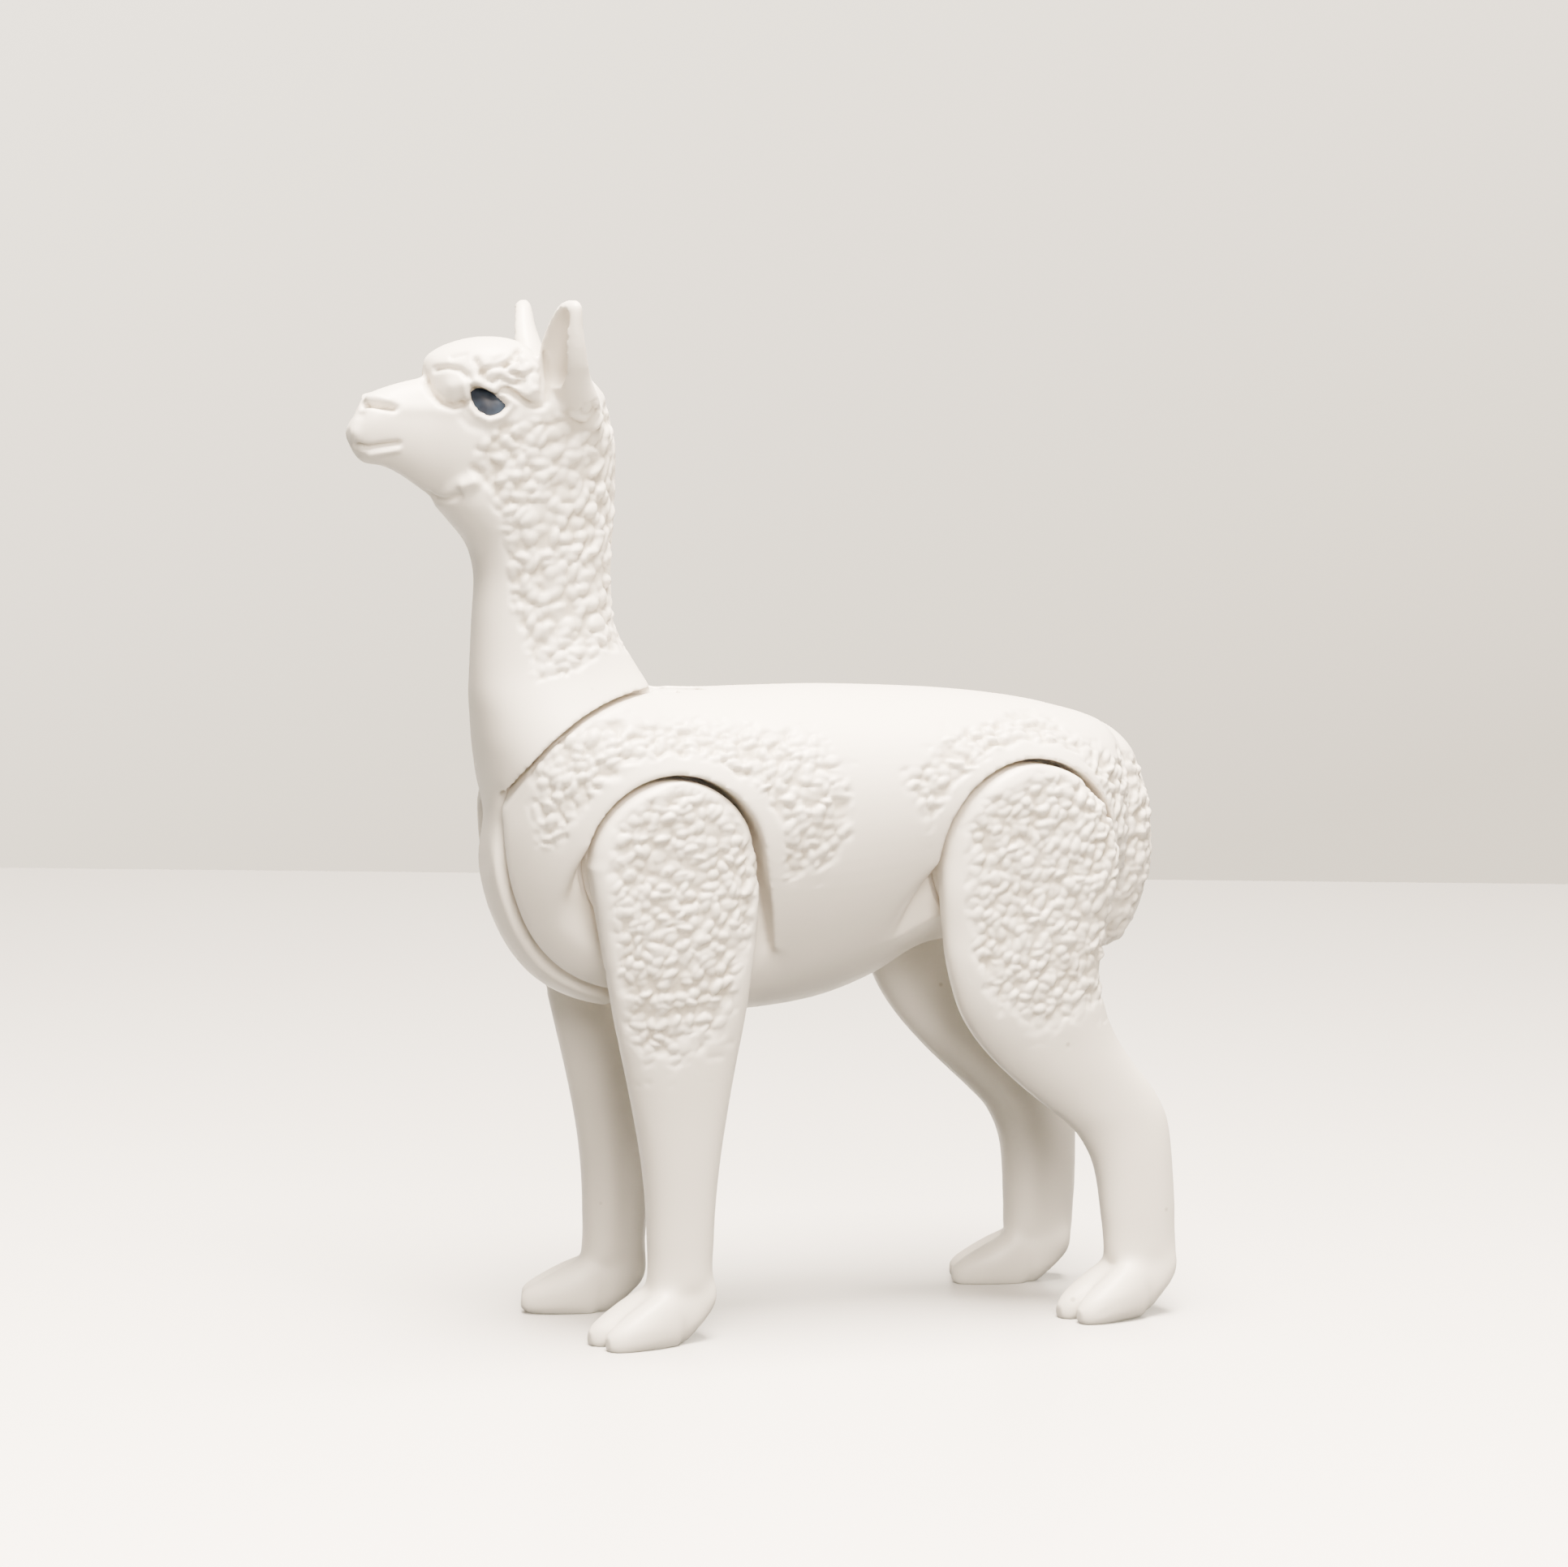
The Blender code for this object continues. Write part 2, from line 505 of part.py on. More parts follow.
# ---------------------------------------------------------------- the figure
def pivot_empty(name, centre):
    """Empty on a joint's axis, for the pieces that turn about it."""
    empty = bpy.data.objects.new(name, None)
    empty.location = ((centre[0] - MIDDLE_X) * MM, 0, centre[1] * MM)
    bpy.context.scene.collection.objects.link(empty)
    return empty


def place(obj, finish, pivot=None):
    """Bring a piece from millimetres to metres, shade it, give it its finish and its pivot."""
    obj.data.transform(Matrix.Translation((-MIDDLE_X * MM, 0, 0)) @ Matrix.Scale(MM, 4))
    obj.data.shade_smooth()
    obj.data.set_sharp_from_angle(angle=math.radians(SHARP_ANGLE))
    obj.data.materials.clear()
    obj.data.materials.append(finish)
    if pivot:
        obj.parent = pivot
        obj.matrix_parent_inverse = Matrix.Translation(-pivot.location)


def white_plastic(piece):
    """The moulding's own white, one material for each piece."""
    return material(piece.name, WHITE, WHITE_ROUGHNESS)


def build():
    clear_scene()
    left_half = trunk_half("trunk_left")
    for piece in (left_half, mirrored(left_half, "trunk_right"), tail()):
        place(piece, white_plastic(piece))
    neck_pivot = pivot_empty("neck_pivot", SHOULDER)
    for name, piece in head_pieces().items():
        piece.name = name
        if name.startswith("eye"):
            place(piece, material(name, NAVY, NAVY_ROUGHNESS), neck_pivot)
        else:
            place(piece, white_plastic(piece), neck_pivot)
    for side, word in ((-1, "left"), (1, "right")):
        for kind, table, socket in (("fore", FORELEG, FORE_SOCKET), ("hind", HINDLEG, HIND_SOCKET)):
            pivot = pivot_empty(kind + "leg_" + word + "_pivot", socket[0])
            for piece in leg_pieces(word, kind, table, socket, side):
                place(piece, white_plastic(piece), pivot)


build()
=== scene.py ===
"""Looks of the articulated toy alpaca: moulded skins over the frame, painted eyes, floor and light.

Shapes are worked out in millimetres in the figure's own axes (nose to -X, left side to -Y, Z up)
and are brought into the frame at the end. Each moulded piece of the toy is one skin:
two trunk halves, the neck with the head, and four legs. The seams between them are real gaps.
"""
import json
import math

import bmesh
import bpy
import numpy as np
from mathutils import Matrix, Vector


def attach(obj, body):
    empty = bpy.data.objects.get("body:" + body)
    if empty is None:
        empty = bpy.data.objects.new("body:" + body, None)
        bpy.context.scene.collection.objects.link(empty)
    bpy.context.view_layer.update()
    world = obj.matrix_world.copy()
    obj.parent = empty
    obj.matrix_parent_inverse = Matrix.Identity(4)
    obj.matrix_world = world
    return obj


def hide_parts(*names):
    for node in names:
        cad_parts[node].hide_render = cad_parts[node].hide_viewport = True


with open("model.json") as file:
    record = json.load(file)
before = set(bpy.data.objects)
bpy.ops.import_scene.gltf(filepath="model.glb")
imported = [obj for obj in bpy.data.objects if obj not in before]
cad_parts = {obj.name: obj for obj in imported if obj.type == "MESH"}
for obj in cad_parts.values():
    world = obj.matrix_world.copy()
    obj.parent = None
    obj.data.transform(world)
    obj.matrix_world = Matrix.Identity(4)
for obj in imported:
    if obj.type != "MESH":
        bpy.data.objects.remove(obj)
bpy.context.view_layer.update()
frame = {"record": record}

MM = 0.001
GAP = 0.3                      # clearance between moving pieces
SHOULDER = (-13.9, 42.0)      # x, z of the joint axes in the figure's own axes
HIP = (18.95, 41.7)
JOINTS = {joint["name"]: joint for joint in frame["record"]["behaviour"]["joints"]}
SHIFT_X = JOINTS["neck_tilt"]["pos_m"][0] / MM - SHOULDER[0]

# Stance of each leg: degrees that it is swung back, and extra length down to the floor.
STANCE = {"foreleg_left": (0.8, 0.0), "foreleg_right": (-2.1, 0.0),
          "hindleg_left": (5.0, 0.35), "hindleg_right": (-0.2, 0.0)}

TRUNK_RIM = 14.3               # radii about the shoulder axis
NECK_SEAT = TRUNK_RIM + GAP
DISC_RADIUS = 14.1
DISC_CORE_RADIUS = 12.1
DISC_HALF = 2.9
DISC_FRONT_END = 256           # degrees
DISC_ROOM_END = 278
SLOT_END_X = -8.4
TONGUE = ((-16.2, -1.3, 53.9), (-10.0, 1.3, 56.2))
SOCKET_FLOOR = 6.5
FLANK_FLOOR = 7.2
SOCKET_TRIM = 0.1              # the skins' sockets are this much smaller in radius
HUB_GAP = 0.48
SEAM_GAP = 0.1                 # extra width of the open seams between skins
HUB_INNER = SOCKET_FLOOR + GAP
LEG_OUTER = 12.2
WIDEST = LEG_OUTER - 0.03      # the wool stays inside this half width
HUB_ROUND = 0.9                # how far the hub's outer face falls back at its top
FLANK_BOTTOM = 33.0            # above this height a leg's inner face runs along the flank
# Sockets: centre, radius, where the round top ends ahead, and how far the sides of the swing
# recess below it lean outwards ahead and behind, in degrees.
FORE_SOCKET = (SHOULDER, 7.8, 166.5, 13.5, 12.0)
HIND_SOCKET = (HIP, 8.75, 181.3, 25.5, 2.0)
SWING_BOTTOM = 15.0            # the recesses' sides are drawn down to here, below the belly
FOOT_TOP = 4.6
TOE_OUT = 12.0                 # degrees that a foot points outwards
TOES = ((1.43, 0.07), (-1.43, 0.31))   # outward place and extra reach of each toe
FAR = 100.0                    # beyond the figure on every side
HEAD_POWERS = (2.1, 2.2)       # super-ellipse powers below and above the head's widest line
SEAM_WALL = -0.04              # y where the left trunk half ends

TRUNK_VOXEL = 0.21             # sizes of the skins' squares
NECK_VOXEL = 0.21
LEG_VOXEL = 0.15

# ---------------------------------------------------------------- section tables, in mm
# Trunk: x, bottom, top, half width, height of the widest line.
TRUNK = [
    (-27.9, 39.8, 47.0, 2.6, 44.5), (-27.6, 38.2, 55.0, 4.1, 45.0), (-26.8, 36.0, 58.5, 5.7, 45.5),
    (-25.4, 33.5, 59.4, 7.7, 45.5), (-23.4, 31.3, 59.2, 9.4, 45.5), (-20.5, 29.6, 58.6, 10.9, 45.5),
    (-17.0, 28.6, 57.8, 11.6, 45.5), (-13.0, 28.2, 56.7, 12.0, 45.5), (-9.0, 27.95, 56.35, 12.1, 45.5),
    (-4.0, 27.85, 56.4, 12.1, 45.5), (2.0, 28.6, 56.45, 12.0, 45.5), (7.0, 30.3, 56.3, 11.9, 46.0),
    (11.0, 32.6, 56.1, 11.8, 46.5), (14.0, 33.4, 55.9, 11.8, 46.5), (18.0, 33.3, 55.5, 11.6, 46.5),
    (22.0, 33.0, 54.9, 11.0, 46.0), (25.0, 33.1, 54.2, 10.1, 45.0), (27.5, 33.9, 53.5, 8.6, 44.0),
    (29.3, 35.5, 52.6, 6.7, 43.5), (30.6, 38.0, 50.6, 4.4, 43.0), (31.1, 41.5, 46.5, 1.5, 43.5),
]
# Tail, pressed against the rump: z, front x, rear x, half width.
TAIL = [
    (32.2, 28.2, 30.5, 0.9), (33.0, 27.3, 31.6, 1.9), (34.6, 26.9, 32.9, 2.8), (37.0, 27.0, 33.8, 3.5),
    (40.0, 27.3, 34.4, 3.8), (43.0, 27.6, 34.47, 3.8), (46.0, 27.4, 34.1, 3.6), (48.5, 26.9, 33.2, 3.2),
    (50.4, 26.4, 32.2, 2.8), (51.6, 26.0, 31.1, 2.2), (52.5, 26.0, 29.8, 1.4), (52.9, 26.2, 28.6, 0.7),
]
# Neck: z, front x, rear x, half width.
NECK = [
    (43.0, -27.0, -14.0, 7.0), (45.0, -27.6, -12.0, 8.6), (48.0, -28.1, -10.4, 9.8),
    (50.0, -28.4, -10.5, 9.9), (52.0, -28.7, -11.2, 9.3), (54.0, -28.9, -12.1, 8.4),
    (56.0, -29.1, -13.0, 7.3), (58.0, -29.1, -14.3, 6.3), (60.0, -29.05, -15.5, 5.7),
    (62.6, -28.95, -16.6, 5.25), (66.0, -28.8, -16.85, 5.0), (68.2, -29.2, -16.8, 5.0),
    (69.7, -30.0, -16.7, 5.0), (71.2, -31.3, -16.6, 5.0), (73.0, -32.7, -16.5, 5.0),
    (75.5, -32.9, -16.45, 5.0), (78.0, -30.5, -16.6, 5.0), (80.5, -28.5, -17.2, 4.8),
    (82.6, -26.6, -18.5, 4.0), (84.0, -25.0, -19.8, 2.6),
]
# Head: x, bottom, top, half width, height of the widest line.
HEAD = [
    (-39.95, 77.8, 79.0, 0.9, 78.35), (-39.7, 77.2, 79.5, 1.5, 78.5), (-39.25, 76.5, 80.4, 1.9, 78.8),
    (-38.9, 76.15, 81.2, 2.1, 79.0), (-38.3, 75.9, 81.8, 2.3, 79.3), (-37.0, 75.7, 82.35, 2.4, 79.5),
    (-35.5, 75.0, 82.8, 2.45, 79.3), (-33.6, 73.7, 83.25, 2.9, 79.0), (-31.6, 72.3, 83.8, 3.8, 78.8),
    (-29.5, 71.2, 84.4, 4.6, 78.6), (-27.3, 71.0, 84.9, 5.0, 78.5), (-25.0, 71.2, 85.1, 5.1, 78.5),
    (-22.5, 72.0, 84.9, 5.0, 78.5), (-20.3, 74.0, 84.2, 4.5, 78.8), (-18.8, 76.0, 83.2, 3.5, 79.5),
    (-17.6, 78.0, 82.0, 1.8, 80.0),
]
# Cap of wool on the forehead: x, bottom, top, half width, height of the widest line.
TOPKNOT = [
    (-33.35, 82.6, 84.5, 0.8, 83.4), (-33.0, 81.6, 85.1, 2.2, 83.0), (-32.3, 80.9, 85.6, 3.35, 82.7),
    (-31.4, 80.7, 86.05, 4.0, 82.7), (-30.5, 81.2, 86.35, 4.4, 83.0), (-29.5, 81.9, 86.6, 4.7, 83.4),
    (-28.4, 82.0, 86.75, 4.9, 83.5), (-27.2, 81.9, 86.75, 5.05, 83.4), (-26.3, 81.3, 86.65, 5.15, 83.1),
    (-25.4, 80.7, 86.4, 5.25, 82.8), (-24.8, 80.6, 86.0, 5.1, 82.7), (-24.35, 81.1, 85.5, 4.4, 82.9),
    (-24.1, 82.1, 84.8, 2.8, 83.4),
]
# Ear: z, front x, rear x, middle y, half width; and the hollow that opens forwards and outwards.
EAR = [
    (78.0, -21.2, -18.3, 3.0, 1.2), (79.5, -22.1, -18.3, 3.4, 1.6), (81.0, -23.0, -18.4, 3.9, 1.8),
    (82.5, -24.2, -18.9, 4.3, 1.8), (84.2, -25.4, -19.45, 4.95, 1.6),
    (86.0, -25.55, -19.9, 5.7, 1.35), (87.6, -25.1, -20.5, 6.45, 1.05), (88.8, -24.5, -20.9, 7.05, 0.85),
    (89.5, -24.0, -21.2, 7.4, 0.65), (89.9, -23.2, -21.8, 7.55, 0.3),
]
EAR_HOLLOW = [
    (82.6, -23.7, -22.5, 4.98, 0.5), (83.4, -24.75, -21.75, 5.18, 1.6), (84.6, -25.5, -21.6, 5.6, 2.0),
    (86.0, -25.4, -21.7, 6.05, 1.9), (87.4, -24.85, -21.85, 6.68, 1.4), (88.5, -24.25, -22.15, 7.23, 1.0),
    (89.2, -23.7, -22.7, 7.57, 0.5),
]
EAR_TURN = 75.0                # degrees that an ear's rear edge is turned outwards
# Foreleg below the hub: z, front x, rear x, inner y, outer y.
FORELEG = [
    (42.0, -21.35, -6.45, 6.8, 12.2), (39.5, -21.05, -6.35, 7.5, 12.2), (36.0, -20.5, -6.5, 7.5, 12.2),
    (32.0, -19.75, -6.95, 7.4, 12.0), (28.0, -18.95, -7.45, 6.95, 11.6), (24.0, -17.95, -8.1, 6.3, 11.1),
    (20.0, -17.0, -8.65, 5.65, 10.55), (16.0, -16.2, -9.15, 5.15, 10.1), (12.0, -15.7, -9.5, 4.8, 9.7),
    (8.0, -15.5, -9.65, 4.6, 9.4), (FOOT_TOP, -15.55, -9.7, 4.5, 9.3),
]
# Hind leg below the hub, with the foot flat on the floor.
HINDLEG = [
    (41.7, 10.55, 27.35, 6.8, 12.2), (39.5, 10.4, 27.15, 7.5, 12.2), (37.0, 10.35, 26.5, 7.5, 12.2),
    (33.5, 10.5, 25.45, 7.5, 12.2), (29.6, 11.3, 25.0, 7.25, 12.0), (27.0, 12.5, 25.35, 7.0, 11.7),
    (24.5, 14.3, 26.4, 6.75, 11.3), (22.0, 16.6, 28.0, 6.5, 10.95), (20.0, 18.7, 29.45, 6.25, 10.7),
    (18.0, 20.85, 30.5, 6.1, 10.55), (16.2, 22.5, 31.0, 6.0, 10.45), (13.4, 23.75, 31.15, 5.95, 10.4),
    (9.5, 24.2, 31.15, 5.9, 10.35), (FOOT_TOP, 24.25, 31.05, 5.9, 10.35),
]
# Foot base and one toe: distance ahead of the ankle, bottom, top, half width.
FOOT = [
    (-3.0, 3.5, 5.2, 1.5), (-2.8, 2.8, 5.6, 2.1), (-2.0, 1.9, 5.7, 2.4), (-1.0, 0.9, 5.7, 2.45),
    (0.2, -0.1, 5.6, 2.5), (1.2, -0.4, 5.4, 2.5), (2.4, -0.4, 4.7, 2.5), (3.6, -0.3, 3.7, 2.2),
    (4.6, 0.1, 2.7, 1.5), (5.0, 0.5, 2.0, 0.8),
]
TOE = [
    (0.6, 0.6, 3.6, 0.8), (1.4, -0.3, 4.7, 1.3), (2.6, -0.4, 4.6, 1.55), (4.0, -0.4, 4.05, 1.65),
    (5.3, -0.4, 3.35, 1.55), (6.4, -0.35, 2.65, 1.35), (7.3, -0.2, 1.95, 1.0), (7.85, 0.2, 1.35, 0.5),
]

# Eyes: the opening between the lids, seen from the side (x, z), and the eyeball behind it.
EYE_OPENING = [(-30.6, 82.75), (-29.9, 82.6), (-29.0, 82.25), (-28.1, 81.65), (-27.45, 81.0),
               (-28.0, 80.4), (-28.9, 80.15), (-29.85, 80.6), (-30.4, 81.3), (-30.6, 82.0)]

# Wool patches, seen from the side (x, z).
NECK_WOOL = [(-30.3, 77.3), (-29.4, 74.6), (-28.8, 72.8), (-28.3, 70.7), (-27.6, 67.2), (-26.8, 62.4),
             (-25.7, 60.1), (-24.5, 57.3), (-21.9, 57.8), (-19.0, 59.8), (-12.0, 60.5), (-12.0, 81.6),
             (-18.8, 81.4), (-22.8, 80.7), (-26.4, 80.1), (-28.6, 79.1)]
SHOULDER_WOOL = [(-27.0, 50.4), (-24.4, 53.5), (-19.4, 54.8), (-10.7, 54.6), (-1.9, 53.1), (1.8, 49.1),
                 (1.9, 44.2), (-0.3, 41.5), (-5.5, 40.6), (-14.0, 44.0), (-23.3, 43.5), (-25.8, 44.2),
                 (-27.2, 47.0)]
RUMP_WOOL = [(6.7, 49.6), (11.9, 53.1), (17.2, 55.1), (20.0, 54.6), (22.5, 52.8), (26.0, 51.3),
             (29.0, 50.6), (36.0, 49.9), (36.0, 31.0), (27.0, 31.0), (25.0, 44.0), (18.0, 46.0),
             (9.5, 44.0)]
CAP_WOOL = [(-30.3, 83.2), (-29.9, 84.9), (-28.0, 85.7), (-26.0, 85.8), (-24.5, 84.9), (-24.3, 82.0),
            (-25.5, 81.4), (-27.0, 82.5), (-28.6, 82.7)]
FORELEG_WOOL = [(-20.6, 46.0), (-20.9, 38.0), (-20.2, 30.0), (-18.5, 23.8), (-15.0, 22.0), (-10.6, 24.3),
                (-8.1, 31.0), (-6.3, 38.0), (-6.3, 44.0), (-9.3, 47.8), (-13.0, 49.5), (-17.5, 49.0)]
HINDLEG_WOOL = [(12.3, 46.0), (11.6, 40.0), (11.6, 34.0), (13.2, 29.5), (15.8, 26.2), (19.6, 24.6),
                (24.0, 27.0), (27.5, 30.0), (31.0, 34.0), (31.0, 44.0), (27.0, 48.5), (21.0, 49.8),
                (15.5, 49.0)]

# Each patch is drawn on an upright plane |y|, with depths at which the wool begins and is full.
WOOL = {"neck": (NECK_WOOL, 5.0, -0.6, 0.9), "cap": (CAP_WOOL, 4.8, -0.4, 0.6),
        "shoulder": (SHOULDER_WOOL, 11.0, -1.4, 1.8), "rump": (RUMP_WOOL, 10.0, -1.4, 1.8),
        "fore": (FORELEG_WOOL, 12.0, -0.6, 2.6), "hind": (HINDLEG_WOOL, 12.0, -0.6, 2.6)}
# Depth of the wool and size of its lumps, and the numbers that its random draws start from.
TRUNK_LUMPS, NECK_LUMPS, LEG_LUMPS = (0.66, 0.98), (0.68, 1.1), (0.55, 0.95)
TRUNK_SEED = {-1: 11, 1: 23}
NECK_SEED = 41
LEG_SEED = {("fore", -1): 61, ("fore", 1): 68, ("hind", -1): 83, ("hind", 1): 90}
WOOL_SLANT = 28.0              # degrees that lumps lie above the level
# Line of sight from ahead of the side: per mm out from the midline, x drops and z rises by this.
SIGHT_DROP, SIGHT_RISE = 0.345, 0.11
FACE_PLANE = 4.8               # |y| of the plane that the face's lines are drawn on
HOLLOW_SHADE = 0.55            # how much painted shade the deepest hollows get
EYE_RISE, EYE_FALL = 0.16, 0.3  # height of the eye's middle, and how far its edge lies below that

# Edges by the belly that are rounded: rounds, and where along x, y and z, each as four places
# between which the rounding comes in and goes out.
BELLY_EDGES = [
    (160, (-24.5, -23.0, -19.5, -18.0), (-9.3, -8.3, -6.6, -5.6), (30.0, 32.0, 37.0, 40.0)),
    (200, (-11.0, -9.5, -2.5, -1.0), (-9.6, -8.6, -6.3, -5.3), (28.2, 29.0, 32.5, 34.5)),
]
# Front edges of the swing recesses: socket, height below which they are rounded, and width.
RECESS_EDGES = ((FORE_SOCKET, 44.0, 0.9), (HIND_SOCKET, 42.0, 1.5))


# ---------------------------------------------------------------- surfaces
def smooth_rows(table, steps=6):
    """A table's rows with steps rows to each interval, on a cubic through them.

    Between rows a and b with slopes p and q (half the step between a row's neighbours), at t:
    a (1+2t)(1-t)^2 + p t (1-t)^2 + b t^2 (3-2t) + q t^2 (t-1).
    """
    rows = np.array(table, dtype=float)
    slopes = np.gradient(rows, axis=0)
    place = np.linspace(0, len(rows) - 1, steps * (len(rows) - 1) + 1)
    index = np.minimum(place.astype(int), len(rows) - 2)
    t = (place - index)[:, None]
    start = rows[index] * (1 + 2 * t) * (1 - t) ** 2 + slopes[index] * t * (1 - t) ** 2
    end = rows[index + 1] * t * t * (3 - 2 * t) + slopes[index + 1] * t * t * (t - 1)
    return start + end


def powered(value, power):
    """Power that keeps the sign, for super-ellipses."""
    return np.sign(value) * np.abs(value) ** power


def upright_rings(rows, count=80, low=1.75, high=2.3):
    """Rings across the body: y = w cos^(2/p), z = widest line + reach sin^(2/p), p by half."""
    x, bottom, top, width, wide = (column[:, None] for column in rows.T)
    angle = np.linspace(0, 2 * math.pi, count, endpoint=False)[None, :]
    rise = np.sin(angle)
    exponent = np.where(rise >= 0, high, low)
    y = width * powered(np.cos(angle), 2 / exponent)
    z = wide + np.where(rise >= 0, top - wide, wide - bottom) * powered(rise, 2 / exponent)
    return np.stack([x + 0 * y, y, z], axis=-1)


def level_rings(rows, count=80, power=2.2):
    """Level rings: a super-ellipse between front and rear x and between inner and outer y."""
    z, front, rear, near, far = (column[:, None] for column in rows.T)
    angle = np.linspace(0, 2 * math.pi, count, endpoint=False)[None, :]
    power = np.broadcast_to(power, (len(rows),))[:, None]
    x = (front + rear) / 2 + (rear - front) / 2 * powered(np.cos(angle), 2 / power)
    y = (near + far) / 2 + (far - near) / 2 * powered(np.sin(angle), 2 / power)
    return np.stack([x, y, z + 0 * x], axis=-1)


def in_scene(name, data):
    """New object with this data, in the scene."""
    obj = bpy.data.objects.new(name, data)
    bpy.context.scene.collection.objects.link(obj)
    return obj


def mesh_object(name, points, faces):
    """Object of points and rows of face corners, with its faces turned outwards."""
    mesh = bpy.data.meshes.new(name)
    corners = [list(corner) for block in faces for corner in block.tolist()]
    mesh.from_pydata(np.asarray(points).tolist(), [], corners)
    shape = bmesh.new()
    shape.from_mesh(mesh)
    bmesh.ops.recalc_face_normals(shape, faces=shape.faces)
    shape.to_mesh(mesh)
    shape.free()
    return in_scene(name, mesh)


def lofted(name, rings):
    """Closed surface through a stack of rings: quads between them and a fan at each end."""
    rows, columns, _ = rings.shape
    ends = rings[[0, -1]].mean(axis=1)
    points = np.concatenate([rings.reshape(-1, 3), ends])
    i, j = np.meshgrid(np.arange(rows - 1), np.arange(columns), indexing="ij")
    k = (j + 1) % columns
    quads = np.stack([i * columns + j, i * columns + k,
                      (i + 1) * columns + k, (i + 1) * columns + j], axis=-1)
    around = np.arange(columns)
    ahead = (around + 1) % columns
    first = np.stack([ahead, around, np.full(columns, rows * columns)], axis=-1)
    last = np.stack([around, ahead, np.full(columns, 1)], axis=-1)
    last[:, :2] += (rows - 1) * columns
    last[:, 2] += rows * columns
    return mesh_object(name, points, [quads.reshape(-1, 4), first, last])


def arc(centre, radius, first, last, count):
    """Points of an arc in x and z, angles in degrees from +X towards +Z."""
    angle = np.radians(np.linspace(first, last, count))
    return np.stack([centre[0] + radius * np.cos(angle), centre[1] + radius * np.sin(angle)], axis=-1)


def prism(name, outline, low_y, high_y):
    """Outline in x and z carried from low_y to high_y."""
    outline = np.asarray(outline)
    count = len(outline)
    points = np.concatenate([np.insert(outline, 1, y, axis=1) for y in (low_y, high_y)])
    around = np.arange(count)
    ahead = (around + 1) % count
    sides = np.stack([around, ahead, ahead + count, around + count], axis=-1)
    return mesh_object(name, points, [sides, around[None, :], around[None, :] + count])


def cylinder(name, centre, radius, low_y, high_y, count=120):
    """Round bar on a lateral axis."""
    return prism(name, arc(centre, radius, 0, 360 - 360 / count, count), low_y, high_y)


def box(name, low, high):
    """Box between two opposite corners."""
    outline = [(low[0], low[2]), (high[0], low[2]), (high[0], high[2]), (low[0], high[2])]
    return prism(name, outline, low[1], high[1])


# ---------------------------------------------------------------- solids from surfaces
def evaluated(obj):
    """Bake the object's modifiers into its mesh."""
    mesh = bpy.data.meshes.new_from_object(obj.evaluated_get(bpy.context.evaluated_depsgraph_get()))
    obj.modifiers.clear()
    obj.data = mesh
    return obj


def combine(target, tool, operation):
    """Boolean of two solids. The tool is used up."""
    modifier = target.modifiers.new("combine", "BOOLEAN")
    modifier.operation = operation
    modifier.solver = "EXACT"
    modifier.object = tool
    evaluated(target)
    bpy.data.objects.remove(tool, do_unlink=True)
    return target


def cut(target, *tools):
    """Take each tool away in turn."""
    for tool in tools:
        combine(target, tool, "DIFFERENCE")
    return target


def fused(name, solids, voxel):
    """One closed skin of even squares round all the solids, which are used up."""
    shape = bmesh.new()
    for solid in solids:
        shape.from_mesh(solid.data)
        bpy.data.objects.remove(solid, do_unlink=True)
    mesh = bpy.data.meshes.new(name)
    shape.to_mesh(mesh)
    shape.free()
    obj = in_scene(name, mesh)
    remesh = obj.modifiers.new("skin", "REMESH")
    remesh.mode = "VOXEL"
    remesh.voxel_size = voxel
    return evaluated(obj)


def places(obj):
    """The mesh's points as an array."""
    points = np.empty(len(obj.data.vertices) * 3)
    obj.data.vertices.foreach_get("co", points)
    return points.reshape(-1, 3)


def set_places(obj, points):
    """Move the mesh's points."""
    obj.data.vertices.foreach_set("co", points.ravel())
    obj.data.update()


def normals(obj):
    """The mesh's outward directions at its points."""
    out = np.empty(len(obj.data.vertices) * 3)
    obj.data.vertex_normals.foreach_get("vector", out)
    return out.reshape(-1, 3)


def relax(obj, rounds, weight=None):
    """Move each point half way to the mean of its neighbours, as many times as rounds, by weight."""
    edges = np.empty(len(obj.data.edges) * 2, dtype=np.int32)
    obj.data.edges.foreach_get("vertices", edges)
    a, b = edges.reshape(-1, 2).T
    points = places(obj)
    count = len(points)
    weight = np.ones(count) if weight is None else weight
    busy = (weight[a] > 0.01) | (weight[b] > 0.01)
    a, b = a[busy], b[busy]
    degree = np.maximum(np.bincount(a, minlength=count) + np.bincount(b, minlength=count), 1)
    share = np.where(weight > 0.01, 0.5 * weight, 0)[:, None]
    for _ in range(rounds):
        total = np.stack([np.bincount(a, points[b, k], count) + np.bincount(b, points[a, k], count)
                          for k in range(3)], axis=-1)
        points += share * (total / degree[:, None] - points)
    set_places(obj, points)
    return obj


# ---------------------------------------------------------------- fields over a surface
def step(low, high, value):
    """Smooth step from 0 at low to 1 at high."""
    t = np.clip((value - low) / (high - low), 0, 1)
    return t * t * (3 - 2 * t)


def band(places_along, value):
    """Smooth rise from 0 to 1 between the first two places, and fall between the last two."""
    first, full, last, gone = places_along
    return step(first, full, value) * (1 - step(last, gone, value))


def around_shoulder(x, z):
    """Distance from the shoulder axis, and degrees round it from +X towards +Z."""
    x, z = x - SHOULDER[0], z - SHOULDER[1]
    return np.hypot(x, z), np.degrees(np.arctan2(z, x))


